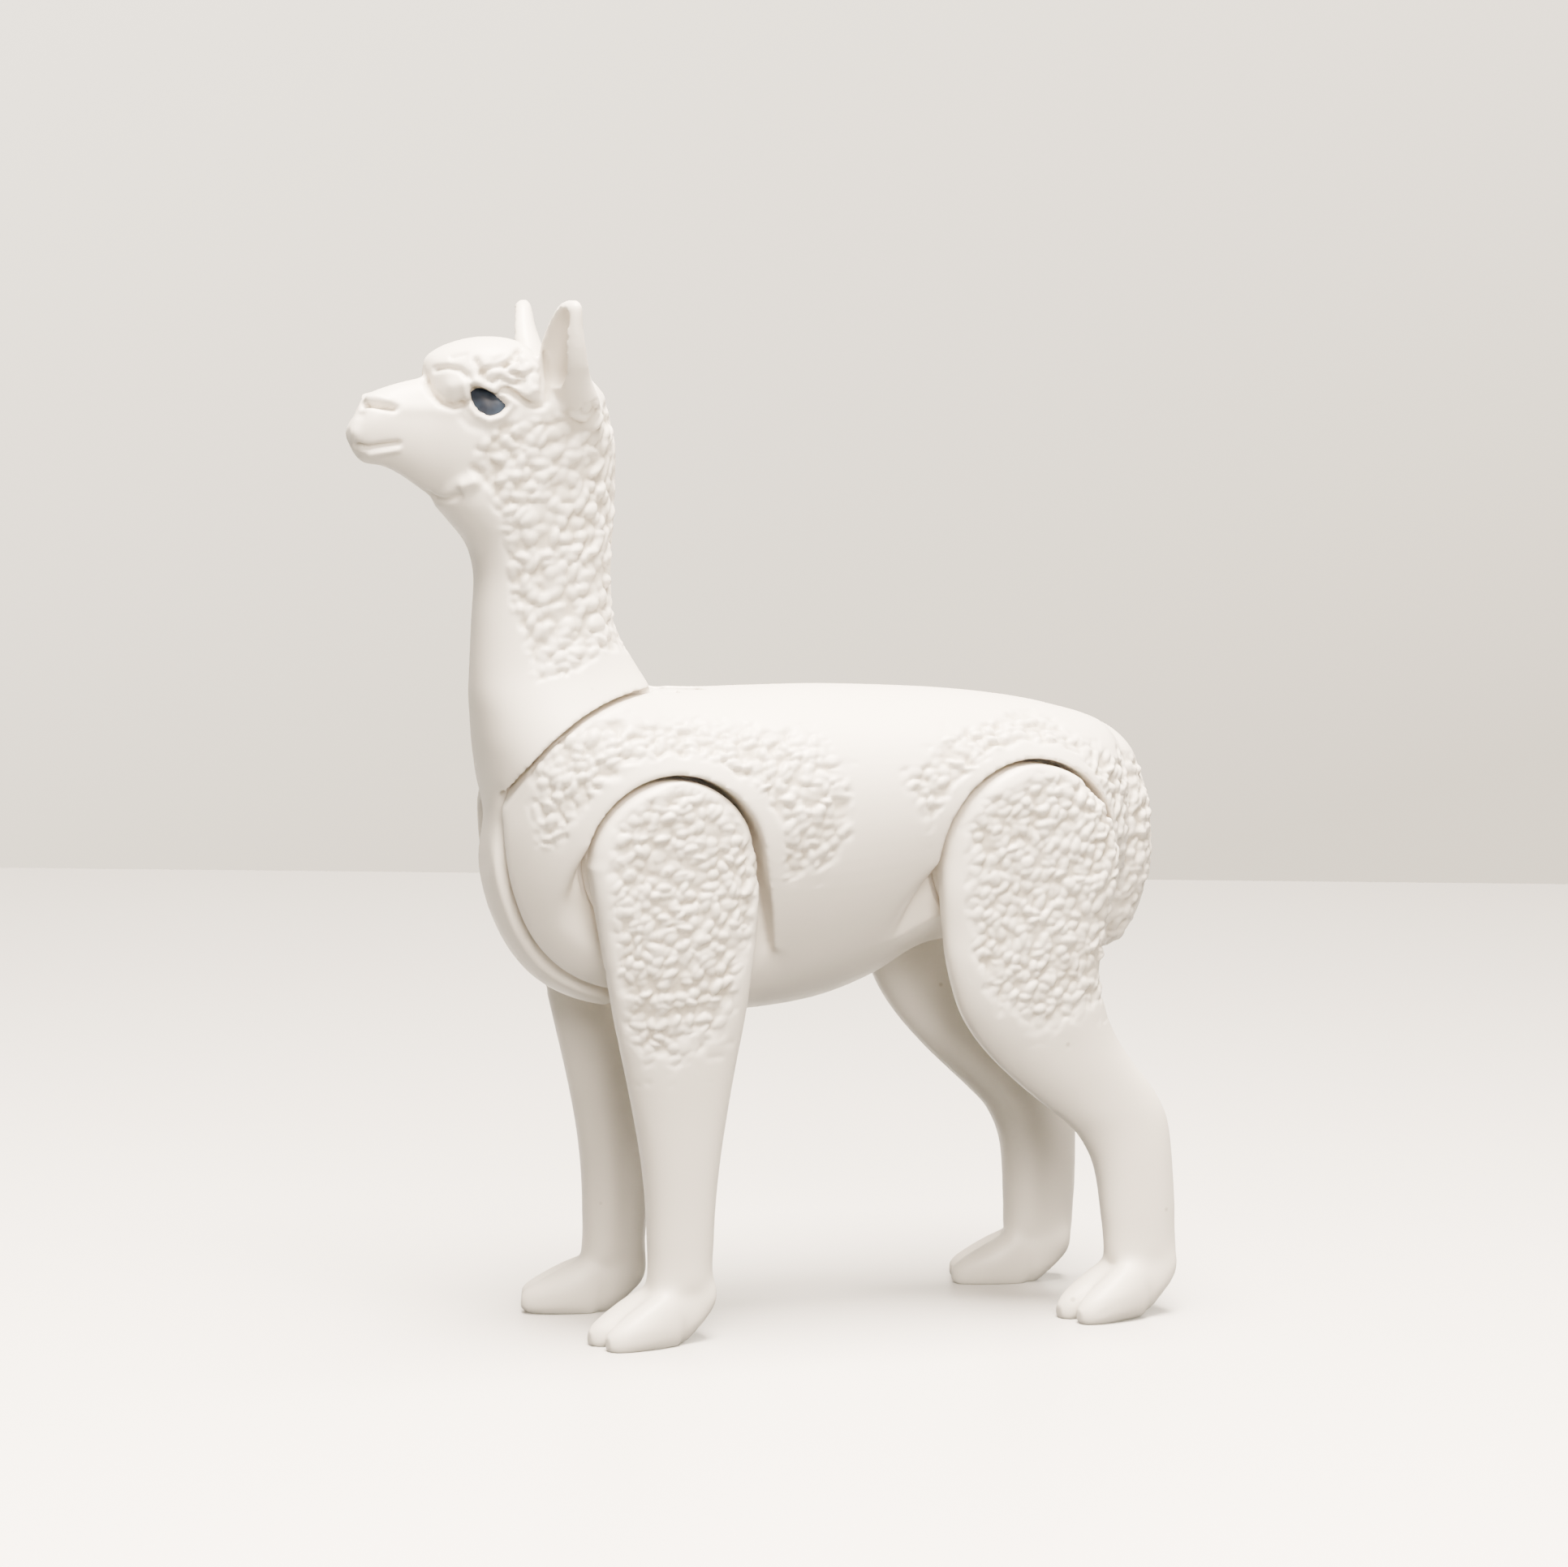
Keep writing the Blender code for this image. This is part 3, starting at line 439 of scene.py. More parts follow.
def scatter(cells, seed):
    """Three even random numbers from 0 to 1 for each whole-number cell, by integer mixing."""
    x, y, z = (cells[..., k].astype(np.int64).astype(np.uint32) for k in range(3))
    mixed = x * np.uint32(73856093) ^ y * np.uint32(19349663) ^ z * np.uint32(83492791) ^ np.uint32(seed)
    numbers = []
    for _ in range(3):
        mixed = (mixed ^ (mixed >> np.uint32(16))) * np.uint32(0x7FEB352D)
        mixed = (mixed ^ (mixed >> np.uint32(15))) * np.uint32(0x846CA68B)
        mixed = mixed ^ (mixed >> np.uint32(16))
        numbers.append(mixed / 2.0 ** 32)
        mixed = mixed + np.uint32(0x9E3779B9)
    return np.stack(numbers, axis=-1)


def cloud(points, size, seed):
    """Soft noise from 0 to 1: random corner values of a grid of cells, blended by smooth steps."""
    scaled = points / size
    base = np.floor(scaled)
    t = scaled - base
    t = t * t * (3 - 2 * t)
    total = np.zeros(len(points))
    for corner in np.ndindex(2, 2, 2):
        part = np.prod(np.where(corner, t, 1 - t), axis=1)
        total += part * scatter(base + corner, seed)[:, 0]
    return total


def seen(points, plane):
    """x and z where the line of sight through each point meets the upright plane |y| = plane."""
    x, y, z = points.T
    out = np.abs(y) - plane
    return x + SIGHT_DROP * out, z - SIGHT_RISE * out


def carried(s, t, half):
    """x and z where the line of sight through s, t on the face's plane is half away from the midline."""
    return s - SIGHT_DROP * (half - FACE_PLANE), t + SIGHT_RISE * (half - FACE_PLANE)


def from_segment(start, end, x, z):
    """Distance in x and z to the straight line between two places."""
    (ax, az), (bx, bz) = start, end
    length = (bx - ax) ** 2 + (bz - az) ** 2
    along = np.clip(((x - ax) * (bx - ax) + (z - az) * (bz - az)) / length, 0, 1)
    return np.hypot(x - ax - along * (bx - ax), z - az - along * (bz - az))


def depth_inside(outline, x, z):
    """Distance inside an outline in x and z, negative outside it."""
    outline = np.asarray(outline)
    nearest = np.full(len(x), 1e9)
    inside = np.zeros(len(x), dtype=bool)
    for (ax, az), (bx, bz) in zip(outline, np.roll(outline, -1, axis=0)):
        nearest = np.minimum(nearest, from_segment((ax, az), (bx, bz), x, z))
        crosses = (az > z) != (bz > z)
        inside ^= crosses & (x < ax + (z - az) * (bx - ax) / (bz - az if bz != az else 1e-9))
    return np.where(inside, nearest, -nearest)


def distance_to(path, x, z):
    """Distance in x and z to a line through a path's points."""
    nearest = np.full(len(x), 1e9)
    for start, end in zip(path, path[1:]):
        nearest = np.minimum(nearest, from_segment(start, end, x, z))
    return nearest


def patch_of(name, points):
    """1 inside a named wool patch and 0 outside it, with a soft edge."""
    outline, plane, begins, full = WOOL[name]
    return step(begins, full, depth_inside(outline, *seen(points, plane)))


def wool_height(points, outward, seed, cell):
    """Moulded wool from 0 in the creases to 1 on the lumps.

    Places are first shifted by soft noise, so that lumps bend. Each cell holds one lump at a random
    point and direction. Along it lies u, across it v and off the surface w: its height is
    h (1 - (u/a)^2 - (v/b)^2)^0.6, less where w is large. The highest lump counts.
    """
    drift = np.stack([cloud(points, 1.2 * cell, seed + k) for k in (31, 32, 33)], axis=-1) - 0.5
    bent = points + 0.6 * cell * drift
    slant = math.radians(WOOL_SLANT)
    lie = np.array([math.cos(slant), 0.0, math.sin(slant)])
    tangent = lie - outward * (outward @ lie)[:, None]
    tangent /= np.maximum(np.linalg.norm(tangent, axis=1, keepdims=True), 1e-6)
    across = np.cross(outward, tangent)
    base = np.floor(bent / cell)
    height = np.zeros(len(points))
    for offset in np.ndindex(3, 3, 3):
        cells = base + (np.array(offset) - 1)
        kind = scatter(cells, seed + 77)
        away = bent - (cells + scatter(cells, seed)) * cell
        u, v, w = ((away * axis).sum(axis=1) for axis in (tangent, across, outward))
        turn = (kind[:, 0] - 0.5) * math.radians(90)
        long_way = u * np.cos(turn) + v * np.sin(turn)
        short_way = v * np.cos(turn) - u * np.sin(turn)
        length = cell * (0.5 + 0.35 * kind[:, 1])
        width = cell * (0.4 + 0.18 * kind[:, 2])
        dome = np.clip(1 - (long_way / length) ** 2 - (short_way / width) ** 2, 0, 1) ** 0.6
        dome *= np.clip(1 - (w / (0.8 * cell)) ** 2, 0, 1) * (0.5 + 0.5 * kind[:, 1])
        height = np.maximum(height, dome)
    return height


def wool(obj, mask, seed, lumps, lift=0.0):
    """Carve wool into a skin where the mask is 1. Returns the painted shade it leaves: low in its creases, 1
    on the lumps' tops and off the wool.

    Lift is the share of the wool's depth that rises out of the skin instead of sinking into it.
    """
    depth, cell = lumps
    points, outward = places(obj), normals(obj)
    ragged = mask + 0.7 * (cloud(points, 1.1, seed + 5) - 0.5) * (mask > 0) * (mask < 1)
    strength = step(0.1, 0.95, ragged) * (0.7 + 0.3 * cloud(points, 3.5, seed + 9))
    height = wool_height(points, outward, seed, cell)
    set_places(obj, points + outward * (depth * strength * (height - 1 + lift))[:, None])
    # Painted shade: the creases between the lumps are stored darker.
    return 1 - strength * (1 - height)


def hollows(obj, rounds):
    """How far each point lies below the smoothed surface, from 0 to 1 at half a millimetre."""
    before, outward = places(obj), normals(obj)
    after = places(relax(obj, rounds))
    set_places(obj, before)
    return np.clip(((after - before) * outward).sum(axis=1) / 0.5, 0, 1)


def relief(obj, values, rounds=60):
    """Store painted shade for the finish: values from 0 in a crease to 1 on the plain surface, less in
    hollows; low values are coloured darker and warmer.
    """
    # Painted shade: points lying in hollows are stored darker, standing in for the shade that falls there.
    values = values * (1 - HOLLOW_SHADE * hollows(obj, rounds))
    store = obj.data.attributes.get("relief") or obj.data.attributes.new("relief", "FLOAT", "POINT")
    store.data.foreach_set("value", np.asarray(values, dtype=np.float32))


# ---------------------------------------------------------------- trunk
def wedge_line(socket):
    """The front side of a swing recess, from the end of the round top down."""
    centre, radius, last, ahead, _ = socket
    x, z = arc(centre, radius, last, last, 1)[0]
    return [(x, z), (x - (z - SWING_BOTTOM) * math.tan(math.radians(ahead)), SWING_BOTTOM)]


def swing_outline(socket):
    """Socket outline: a round top, and straight sides that open downwards."""
    centre, radius, last, _, behind = socket
    top = arc(centre, radius, behind, last, 60)
    right = (top[0][0] + (top[0][1] - SWING_BOTTOM) * math.tan(math.radians(behind)), SWING_BOTTOM)
    return np.concatenate([top, [wedge_line(socket)[1], right]])


def whole_trunk(name):
    """The trunk before it is halved and hollowed."""
    return lofted(name, upright_rings(smooth_rows(TRUNK)))


def trunk_shell(side, word):
    """One moulded trunk half with its half of the tail: sockets, the disc's room and the slot."""
    body = whole_trunk("trunk")
    spare = 1.0
    cut(body, box("other_half", (-FAR, spare, -FAR), (FAR, FAR, FAR)))
    rim = np.concatenate([arc(SHOULDER, TRUNK_RIM - SEAM_GAP, 90, 175, 60),
                          arc(SHOULDER, 3 * TRUNK_RIM, 175, 90, 6)])
    cut(body, prism("outside_rim", rim, -FAR, FAR))
    deep = np.concatenate([arc(SHOULDER, TRUNK_RIM + 6, 80, DISC_ROOM_END, 60),
                           arc(SHOULDER, DISC_CORE_RADIUS + GAP, DISC_ROOM_END + 1, 439, 90)])
    cut(body, prism("disc_room", deep, -DISC_HALF - GAP, spare + 1))
    (x0, y0, z0), (x1, y1, z1) = TONGUE
    cut(body, box("tongue_room", (x0 - 1, y0 - GAP, z0 - GAP - SEAM_GAP), (SLOT_END_X, spare + 1, z1 + 4)))
    for socket in (FORE_SOCKET, HIND_SOCKET):
        cut(body, prism("swing", swing_outline(socket), -FAR, -FLANK_FLOOR))
        centre, radius = socket[:2]
        cut(body, cylinder("socket", centre, radius - SOCKET_TRIM, -FLANK_FLOOR - 1, -SOCKET_FLOOR))
    rows = smooth_rows(TAIL)
    tail = lofted("tail", level_rings(np.column_stack([rows[:, :3], -rows[:, 3], rows[:, 3]])))
    cut(tail, box("other_half", (-FAR, spare, -FAR), (FAR, FAR, FAR)))
    shell = fused("trunk_%s_shell" % word, [body, tail], TRUNK_VOXEL)
    relax(shell, 3)
    soften_edges(shell)
    points = places(shell)
    x, y, z = points.T
    from_hip = np.hypot(x - HIP[0], z - HIP[1])
    patch = np.maximum(patch_of("shoulder", points), patch_of("rump", points))
    # The wool keeps off the sockets' rims, a little further above the hip, and off the midline.
    margin = 0.9 * step(35, 75, np.degrees(np.arctan2(z - HIP[1], x - HIP[0])))
    patch *= step(8.7, 10.2, around_shoulder(x, z)[0]) * step(8.7, 9.8, from_hip - margin)
    patch *= 1 - step(-1.0, -0.3, y)
    outside = normals(shell)[:, 1] < 0.35
    lift = 0.35 - 0.25 * step(31.0, 33.5, x)
    relief(shell, wool(shell, patch * outside * (z > 30), TRUNK_SEED[side], TRUNK_LUMPS, lift))
    keep_narrow(shell)
    halve(shell)
    if side > 0:
        mirror(shell)
    return finished(shell, "trunk", "trunk_" + word, *(["tail"] if side < 0 else []))


def keep_narrow(obj):
    """Bring any point of a skin that stands out too far sideways back to the widest half width."""
    points = places(obj)
    points[:, 1] = np.clip(points[:, 1], -WIDEST, WIDEST)
    set_places(obj, points)


def soften_edges(shell):
    """Round the edges ahead of each leg, by the belly and along the breast, by local smoothing."""
    points = places(shell)
    x, y, z = points.T
    for socket, top, wide in RECESS_EDGES:
        near = np.exp(-(distance_to(wedge_line(socket), x, z) / wide) ** 2) * (1 - step(top - 4, top, z))
        relax(shell, 220, near * (y < -FLANK_FLOOR - 0.15))
    for rounds, along, across, up in BELLY_EDGES:
        relax(shell, rounds, band(along, x) * band(up, z) * band(across, y))
    distance, turn = around_shoulder(x, z)
    breast = band((160, 172, 262, 272), turn % 360) * np.exp(-((y + DISC_HALF + GAP) / 1.5) ** 2)
    relax(shell, 220, breast * (distance > 10.5))


def halve(obj):
    """Cut a shell at the midline seam and close it with one flat wall."""
    shape = bmesh.new()
    shape.from_mesh(obj.data)
    everything = list(shape.verts) + list(shape.edges) + list(shape.faces)
    bmesh.ops.bisect_plane(shape, geom=everything, dist=1e-5, plane_co=(0, SEAM_WALL, 0),
                           plane_no=(0, 1, 0), clear_outer=True)
    rims = [edge for edge in shape.edges if edge.is_boundary]
    bmesh.ops.holes_fill(shape, edges=rims, sides=0)
    bmesh.ops.recalc_face_normals(shape, faces=shape.faces)
    shape.to_mesh(obj.data)
    shape.free()


def mirror(obj):
    """Move a finished skin to the figure's other side."""
    obj.data.transform(Matrix.Diagonal((1, -1, 1, 1)))
    obj.data.flip_normals()


# ---------------------------------------------------------------- neck and head
def neck_skin():
    """Neck, disc, tongue, head, topknot and ears as the one moulding that they are."""
    rows = smooth_rows(NECK)
    body = lofted("neck", level_rings(np.column_stack([rows[:, :3], -rows[:, 3], rows[:, 3]])))
    for side in (-1, 1):
        low, high = sorted((side * DISC_HALF, side * FAR))
        cut(body, cylinder("seat", SHOULDER, NECK_SEAT + SEAM_GAP, low, high, 180))
    behind = np.concatenate([arc(SHOULDER, 2.0, 90, -110, 24), arc(SHOULDER, 3 * TRUNK_RIM, -110, 90, 12)])
    cut(body, prism("behind", behind, -FAR, FAR))
    outline = np.concatenate([arc(SHOULDER, DISC_RADIUS, 86, 175, 60),
                              arc(SHOULDER, 1.5 * DISC_RADIUS, 176, DISC_FRONT_END, 12),
                              arc(SHOULDER, DISC_CORE_RADIUS, DISC_FRONT_END + 1, 446, 90)])
    disc = combine(prism("disc", outline, -DISC_HALF, DISC_HALF), whole_trunk("breast"), "INTERSECT")
    head = lofted("head", upright_rings(smooth_rows(HEAD), 80, *HEAD_POWERS))
    cap = lofted("topknot", upright_rings(smooth_rows(TOPKNOT), 80, 4.5, 2.4))
    skin = [body, disc, box("tongue", *TONGUE), head, cap]
    for side in (-1, 1):
        ear = ear_leaf("ear", EAR, side)
        skin.append(cut(ear, ear_leaf("hollow", EAR_HOLLOW, side)))
    obj = fused("neck_skin", skin, NECK_VOXEL)
    relax(obj, 3)
    # Smooth the join of the neck to the disc, then the ears' feet.
    x, y, z = places(obj).T
    relax(obj, 150, np.exp(-((z - 45.5) / 2.2) ** 2) * (x < -24) * (np.abs(y) < DISC_HALF + 1.5))
    x, y, z = places(obj).T
    relax(obj, 60, step(-23.0, -21.5, x) * step(3.0, 3.8, np.abs(y)) * band((78.5, 80.0, 83.0, 84.5), z))
    # The face's creases come back as painted shade, stored with the wool's.
    creases = face(obj)
    points = places(obj)
    patch = patch_of("neck", points) * step(0.3, 1.5, np.abs(points[:, 1]))
    patch = np.maximum(patch, 0.5 * patch_of("cap", points))
    lift = 0.4 - 0.25 * step(-19.0, -17.0, points[:, 0])
    relief(obj, wool(obj, patch, NECK_SEED, NECK_LUMPS, lift) * creases, 160)
    return finished(obj, "neck", "neck", "head", "topknot", "ear_left", "ear_right")


def ear_leaf(name, table, side):
    """One ear, or its hollow, between front and rear x and half widths about its middle y.

    Each ring is turned about its middle so that the ear opens forwards and outwards.
    """
    z, front, rear, middle, half = smooth_rows(table).T
    rings = level_rings(np.column_stack([z, front, rear, -half, half]), 48)
    centre = ((front + rear) / 2)[:, None]
    turn = math.radians(side * EAR_TURN)
    x, y = rings[..., 0] - centre, rings[..., 1].copy()
    rings[..., 0] = centre + x * math.cos(turn) - y * math.sin(turn)
    rings[..., 1] = side * middle[:, None] + x * math.sin(turn) + y * math.cos(turn)
    return lofted(name, rings)


def face(obj):
    """Eye sockets, lids, nostrils and mouth, pressed in or raised. Returns the painted shade they leave:
    darker where pressed in.

    At distance d from a stroke of height h and half width w the surface rises by h exp(-(d/w)^2).
    """
    points, outward = places(obj), normals(obj)
    x, y, z = points.T
    sideways = step(0.2, 0.8, np.abs(y)) * (x < -21.0) * (z > 70)
    s, t = seen(points, FACE_PLANE)
    opening = depth_inside(EYE_OPENING, s, t)
    near_eye = step(2.2, 3.0, np.abs(y)) * (x < -25.0) * (z < 83.6)
    lift = near_eye * (0.32 * np.exp(-((opening + 0.42) / 0.3) ** 2) - 0.75 * step(-0.1, 0.15, opening))
    for path, width, amount in STROKES:
        lift += sideways * amount * np.exp(-(distance_to(path, s, t) / width) ** 2)
    set_places(obj, points + outward * lift[:, None])
    # Painted shade: a stroke pressed in by 0.6 mm or more is stored at 0.1, shallower ones lighter.
    return 1 + 1.5 * np.maximum(-0.6, np.minimum(lift, 0))


# Face lines and lumps, from ahead of the side: path in x and z, half width, and height.
STROKES = [
    ([(-40.9, 81.6), (-40.4, 81.4)], 0.3, -0.3),                           # nostril
    ([(-40.4, 81.45), (-39.4, 81.4), (-38.2, 81.1), (-37.4, 80.95)], 0.27, -0.75),
    ([(-40.5, 82.1), (-39.0, 81.95), (-37.8, 81.6)], 0.3, 0.2),             # its hood
    ([(-41.0, 79.0), (-40.8, 78.8)], 0.5, 0.1),                             # tip of the nose
    ([(-41.2, 80.7), (-40.4, 80.5)], 0.4, -0.15),
    ([(-41.0, 77.95), (-39.7, 77.65), (-38.5, 77.8), (-37.1, 78.0)], 0.22, -0.5),    # mouth
    ([(-39.6, 77.15), (-38.5, 77.3), (-37.2, 77.5)], 0.32, 0.25),           # lower lip
    ([(-37.0, 81.0), (-34.0, 80.9), (-32.0, 80.5)], 0.6, 0.12),             # ridge below the bridge
    ([(-31.2, 74.35), (-30.3, 74.6)], 0.55, 0.55),                          # jaw lobe
    ([(-30.4, 75.75), (-29.6, 75.25), (-29.2, 74.6)], 0.3, -0.45),          # crease behind it
    ([(-34.9, 73.6), (-33.2, 73.2), (-31.6, 73.5)], 0.28, -0.35),           # crease below the jaw
    ([(-35.3, 73.9), (-34.6, 73.65)], 0.3, -0.4),                           # throat
    ([(-31.5, 80.1), (-30.7, 79.3), (-29.2, 78.85), (-27.4, 79.2)], 0.35, -0.14),    # crease below the eye
    ([(-28.5, 82.4), (-27.4, 81.6), (-26.7, 81.1)], 0.35, 0.25),            # upper lid
    # Creases below the cap.
    ([(-34.9, 83.6), (-34.15, 82.3), (-33.3, 81.4), (-32.1, 81.0), (-31.0, 81.3)], 0.28, -0.6),
    ([(-28.6, 82.1), (-27.4, 82.3), (-26.5, 81.8), (-25.7, 81.3), (-25.0, 80.9), (-24.3, 81.0)],
     0.25, -0.45),
    ([(-23.9, 81.4), (-23.8, 83.3), (-24.1, 85.5)], 0.25, -0.4),            # behind it
    ([(-33.9, 84.3), (-32.8, 84.4), (-31.6, 84.1), (-30.6, 83.2)], 0.25, -0.45),     # creases in the cap
    ([(-30.2, 84.9), (-29.7, 83.9), (-29.2, 83.0)], 0.25, -0.5),
    ([(-29.5, 84.0), (-28.4, 84.2), (-27.4, 84.5)], 0.22, -0.4),
    ([(-27.5, 84.3), (-26.7, 85.2), (-26.3, 85.8)], 0.22, -0.4),
    ([(-27.0, 83.7), (-25.9, 83.4), (-25.1, 83.9)], 0.22, -0.35),
    ([(-28.7, 82.9), (-28.1, 83.3), (-26.9, 82.8), (-25.9, 82.9)], 0.22, -0.4),
    ([(-32.4, 85.2), (-31.2, 85.4)], 0.22, -0.2),
    ([(-32.1, 82.7), (-31.5, 82.8)], 0.7, 0.3),                             # front curl
    ([(-25.6, 82.0), (-25.2, 82.3)], 0.5, 0.3),                             # rear curl
]


def head_side(x, z):
    """Half width of the head's surface at x and z, from its sections."""
    rows = smooth_rows(HEAD)
    bottom, top, width, wide = (np.interp(x, rows[:, 0], column) for column in rows[:, 1:].T)
    reach = np.where(z > wide, (z - wide) / (top - wide), (wide - z) / (wide - bottom))
    power = HEAD_POWERS[0]
    return width * np.clip(1 - np.clip(reach, 0, 1) ** power, 0, 1) ** (1 / power)


def eye(side, word):
    """Glossy painted eye: a low dome on the outline of the lids, with an edge that sinks into the skin.

    Its height over the head's side is EYE_RISE - EYE_FALL r^2, with r from 0 in the middle to 1 at
    the outline. The last two rings go straight in.
    """
    corners = np.array(EYE_OPENING)
    lead, each = 2, 8          # corners repeated ahead of the first, and places to each stretch
    corners = np.concatenate([corners[-lead:], corners, corners[:lead + 1]])
    outline = smooth_rows(corners, each)[lead * each:(lead + len(EYE_OPENING)) * each]
    middle = outline.mean(axis=0)
    r = np.concatenate([np.linspace(0.06, 1.0, 18), [1.0, 1.0]])[:, None, None]
    spot = middle + (outline - middle)[None] * r
    rise = EYE_RISE - EYE_FALL * r[..., 0] ** 2
    rise[-1] -= 0.5
    rise[-2] -= 0.1
    s, t = spot[..., 0], spot[..., 1]
    half = np.full(s.shape, 4.3)
    for _ in range(6):
        half = head_side(*carried(s, t, half))
    x, z = carried(s, t, half)
    rings = np.stack([x, side * (half + rise), z], axis=-1)
    obj = lofted("eye_%s_paint" % word, rings)
    relief(obj, np.ones(len(obj.data.vertices)))
    return finished(obj, "neck", "eye_" + word, finish="eye_paint")


# ---------------------------------------------------------------- legs
def leg_skin(kind, side, word):
    """Leg and foot as one moulding: hub, limb and two-toed foot with a flat sole."""
    fore = kind == "fore"
    centre, radius = (FORE_SOCKET if fore else HIND_SOCKET)[:2]
    radius -= HUB_GAP
    swing, extra = STANCE["%sleg_%s" % (kind, word)]
    table = np.array(FORELEG if fore else HINDLEG, dtype=float)
    table[:, 0] -= extra * (table[0, 0] - table[:, 0]) / (table[0, 0] - table[-1, 0])
    angle = np.radians(np.linspace(84, 6, 14))
    rise = np.sin(angle)
    hub = np.column_stack([centre[1] + radius * rise, centre[0] - radius * np.cos(angle),
                           centre[0] + radius * np.cos(angle), np.full(14, HUB_INNER),
                           LEG_OUTER - HUB_ROUND * rise ** 6])
    rows = np.concatenate([hub, smooth_rows(table)])
    inner, outer = side * rows[:, 3], side * rows[:, 4]
    rows = np.column_stack([rows[:, :3], inner, outer])
    power = 2.2 + 0.3 * step(27, 33, rows[:, 0]) + 0.9 * step(35, 41, rows[:, 0])
    limb = lofted("limb", level_rings(rows, 80, power))
    inner, outer = sorted((side * FLANK_FLOOR / 2, side * (FLANK_FLOOR + GAP)))
    flank = box("flank", (-FAR, inner, FLANK_BOTTOM), (FAR, outer, FAR))
    cut(flank, cylinder("hub", centre, radius, inner - 1, outer + 1))
    cut(limb, flank)
    _, front, rear, near, far = table[-1]
    ankle = np.array([(front + rear) / 2, side * (near + far) / 2, -extra])
    boss = cylinder("boss", centre, radius, *sorted((side * HUB_INNER, side * (HUB_INNER + 1.3))))
    limb_name = "%sleg_%s" % (kind, word)
    obj = fused(limb_name + "_skin", [limb, boss] + foot_solids(ankle, side), LEG_VOXEL)
    relax(obj, 3)
    z = places(obj)[:, 2]
    relax(obj, 90, step(1.6, 3.2, z) * (1 - step(6.5, 9.0, z)))
    points = places(obj)
    patch = patch_of(kind, points) * step(8.0, 9.6, np.abs(points[:, 1]))
    fading = 0.3 + 0.7 * step(24.5, 30.0, points[:, 2])
    relief(obj, wool(obj, patch * fading, LEG_SEED[kind, side], LEG_LUMPS))
    keep_narrow(obj)
    points = places(obj)
    turn = math.radians(-swing)
    x, z = points[:, 0] - centre[0], points[:, 2] - centre[1]
    points[:, 0] = centre[0] + x * math.cos(turn) + z * math.sin(turn)
    points[:, 2] = np.maximum(centre[1] + z * math.cos(turn) - x * math.sin(turn), 0.0)
    set_places(obj, points)
    return finished(obj, limb_name, limb_name, "%sfoot_%s" % (kind, word))


def foot_solids(ankle, side):
    """Foot base and two toes about the ankle, turned a little outwards."""
    turn = math.radians(-side * TOE_OUT)
    solids = []
    for table, outward, longer in [(FOOT, 0.0, 0.0)] + [(TOE, *toe) for toe in TOES]:
        ahead, bottom, top, half = smooth_rows(table).T
        rows = np.column_stack([-ahead - longer, bottom, top, half, (bottom + top) / 2 - 0.2])
        rings = upright_rings(rows, 48, 2.6, 2.2)
        rings[..., 1] += side * outward
        x, y = rings[..., 0].copy(), rings[..., 1].copy()
        rings[..., 0] = x * math.cos(turn) - y * math.sin(turn)
        rings[..., 1] = x * math.sin(turn) + y * math.cos(turn)
        solids.append(lofted("toe", rings + ankle))
    return solids


# ---------------------------------------------------------------- finishes
class Value:
    """A shader number that can be written in sums and products."""
    def __init__(self, tree, socket):
        self.tree = tree
        self.socket = socket

    def math(self, operation, first, second):
        return shader_node(self.tree, "Math", {"operation": operation}, Value=first, Value_001=second)

    def __add__(self, other):
        return self.math("ADD", self, other)

    def __mul__(self, other):
        return self.math("MULTIPLY", self, other)

    def __rsub__(self, other):
        return self.math("SUBTRACT", other, self)

    __radd__ = __add__
    __rmul__ = __mul__


def shader_node(tree, kind, settings, output=0, **sockets):
    """Any shader node: settings and a ramp's stops first, then values or links by socket name."""
    made = tree.nodes.new("ShaderNode" + kind)
    for name, value in settings.items():
        if name == "stops":
            for stop, (place, colour) in zip(made.color_ramp.elements, value):
                stop.position, stop.color = place, colour + (1,)
        else:
            setattr(made, name, value)
    plug(made, **sockets)
    return Value(tree, made.outputs[output])


def plug(node, **sockets):
    """Give a node's sockets, found by name or identifier, values or links."""
    for name, value in sockets.items():
        known = name.replace("_", " ")
        slot = next(item for item in node.inputs if known in (item.name, item.identifier.replace("_", " ")))
        if isinstance(value, Value):
            value.tree.links.new(value.socket, slot)
        else:
            slot.default_value = value


def coordinates(tree, place):
    """A place's x, y and z in a shader."""
    parts = shader_node(tree, "SeparateXYZ", {}, Vector=place).socket.node
    return [Value(tree, parts.outputs[name]) for name in "XYZ"]


def own_place(tree):
    """Place on the object itself, in metres."""
    return shader_node(tree, "TexCoord", {}, output=3)


def noise(tree, place, scale, detail):
    """Soft noise from 0 to 1, with scale lumps to the metre."""
    return shader_node(tree, "TexNoise", {}, Vector=place, Scale=scale, Detail=detail)


def ramp(tree, factor, *stops):
    """Colour that runs from one stop to the next as the factor grows."""
    return shader_node(tree, "ValToRGB", {"stops": stops}, Fac=factor)


def finish_material(name, roughness):
    """New Principled material; returns it with its tree and shader."""
    made = bpy.data.materials.new(name)
    made.use_nodes = True
    shader = made.node_tree.nodes["Principled BSDF"]
    plug(shader, Roughness=roughness)
    return made, made.node_tree, shader


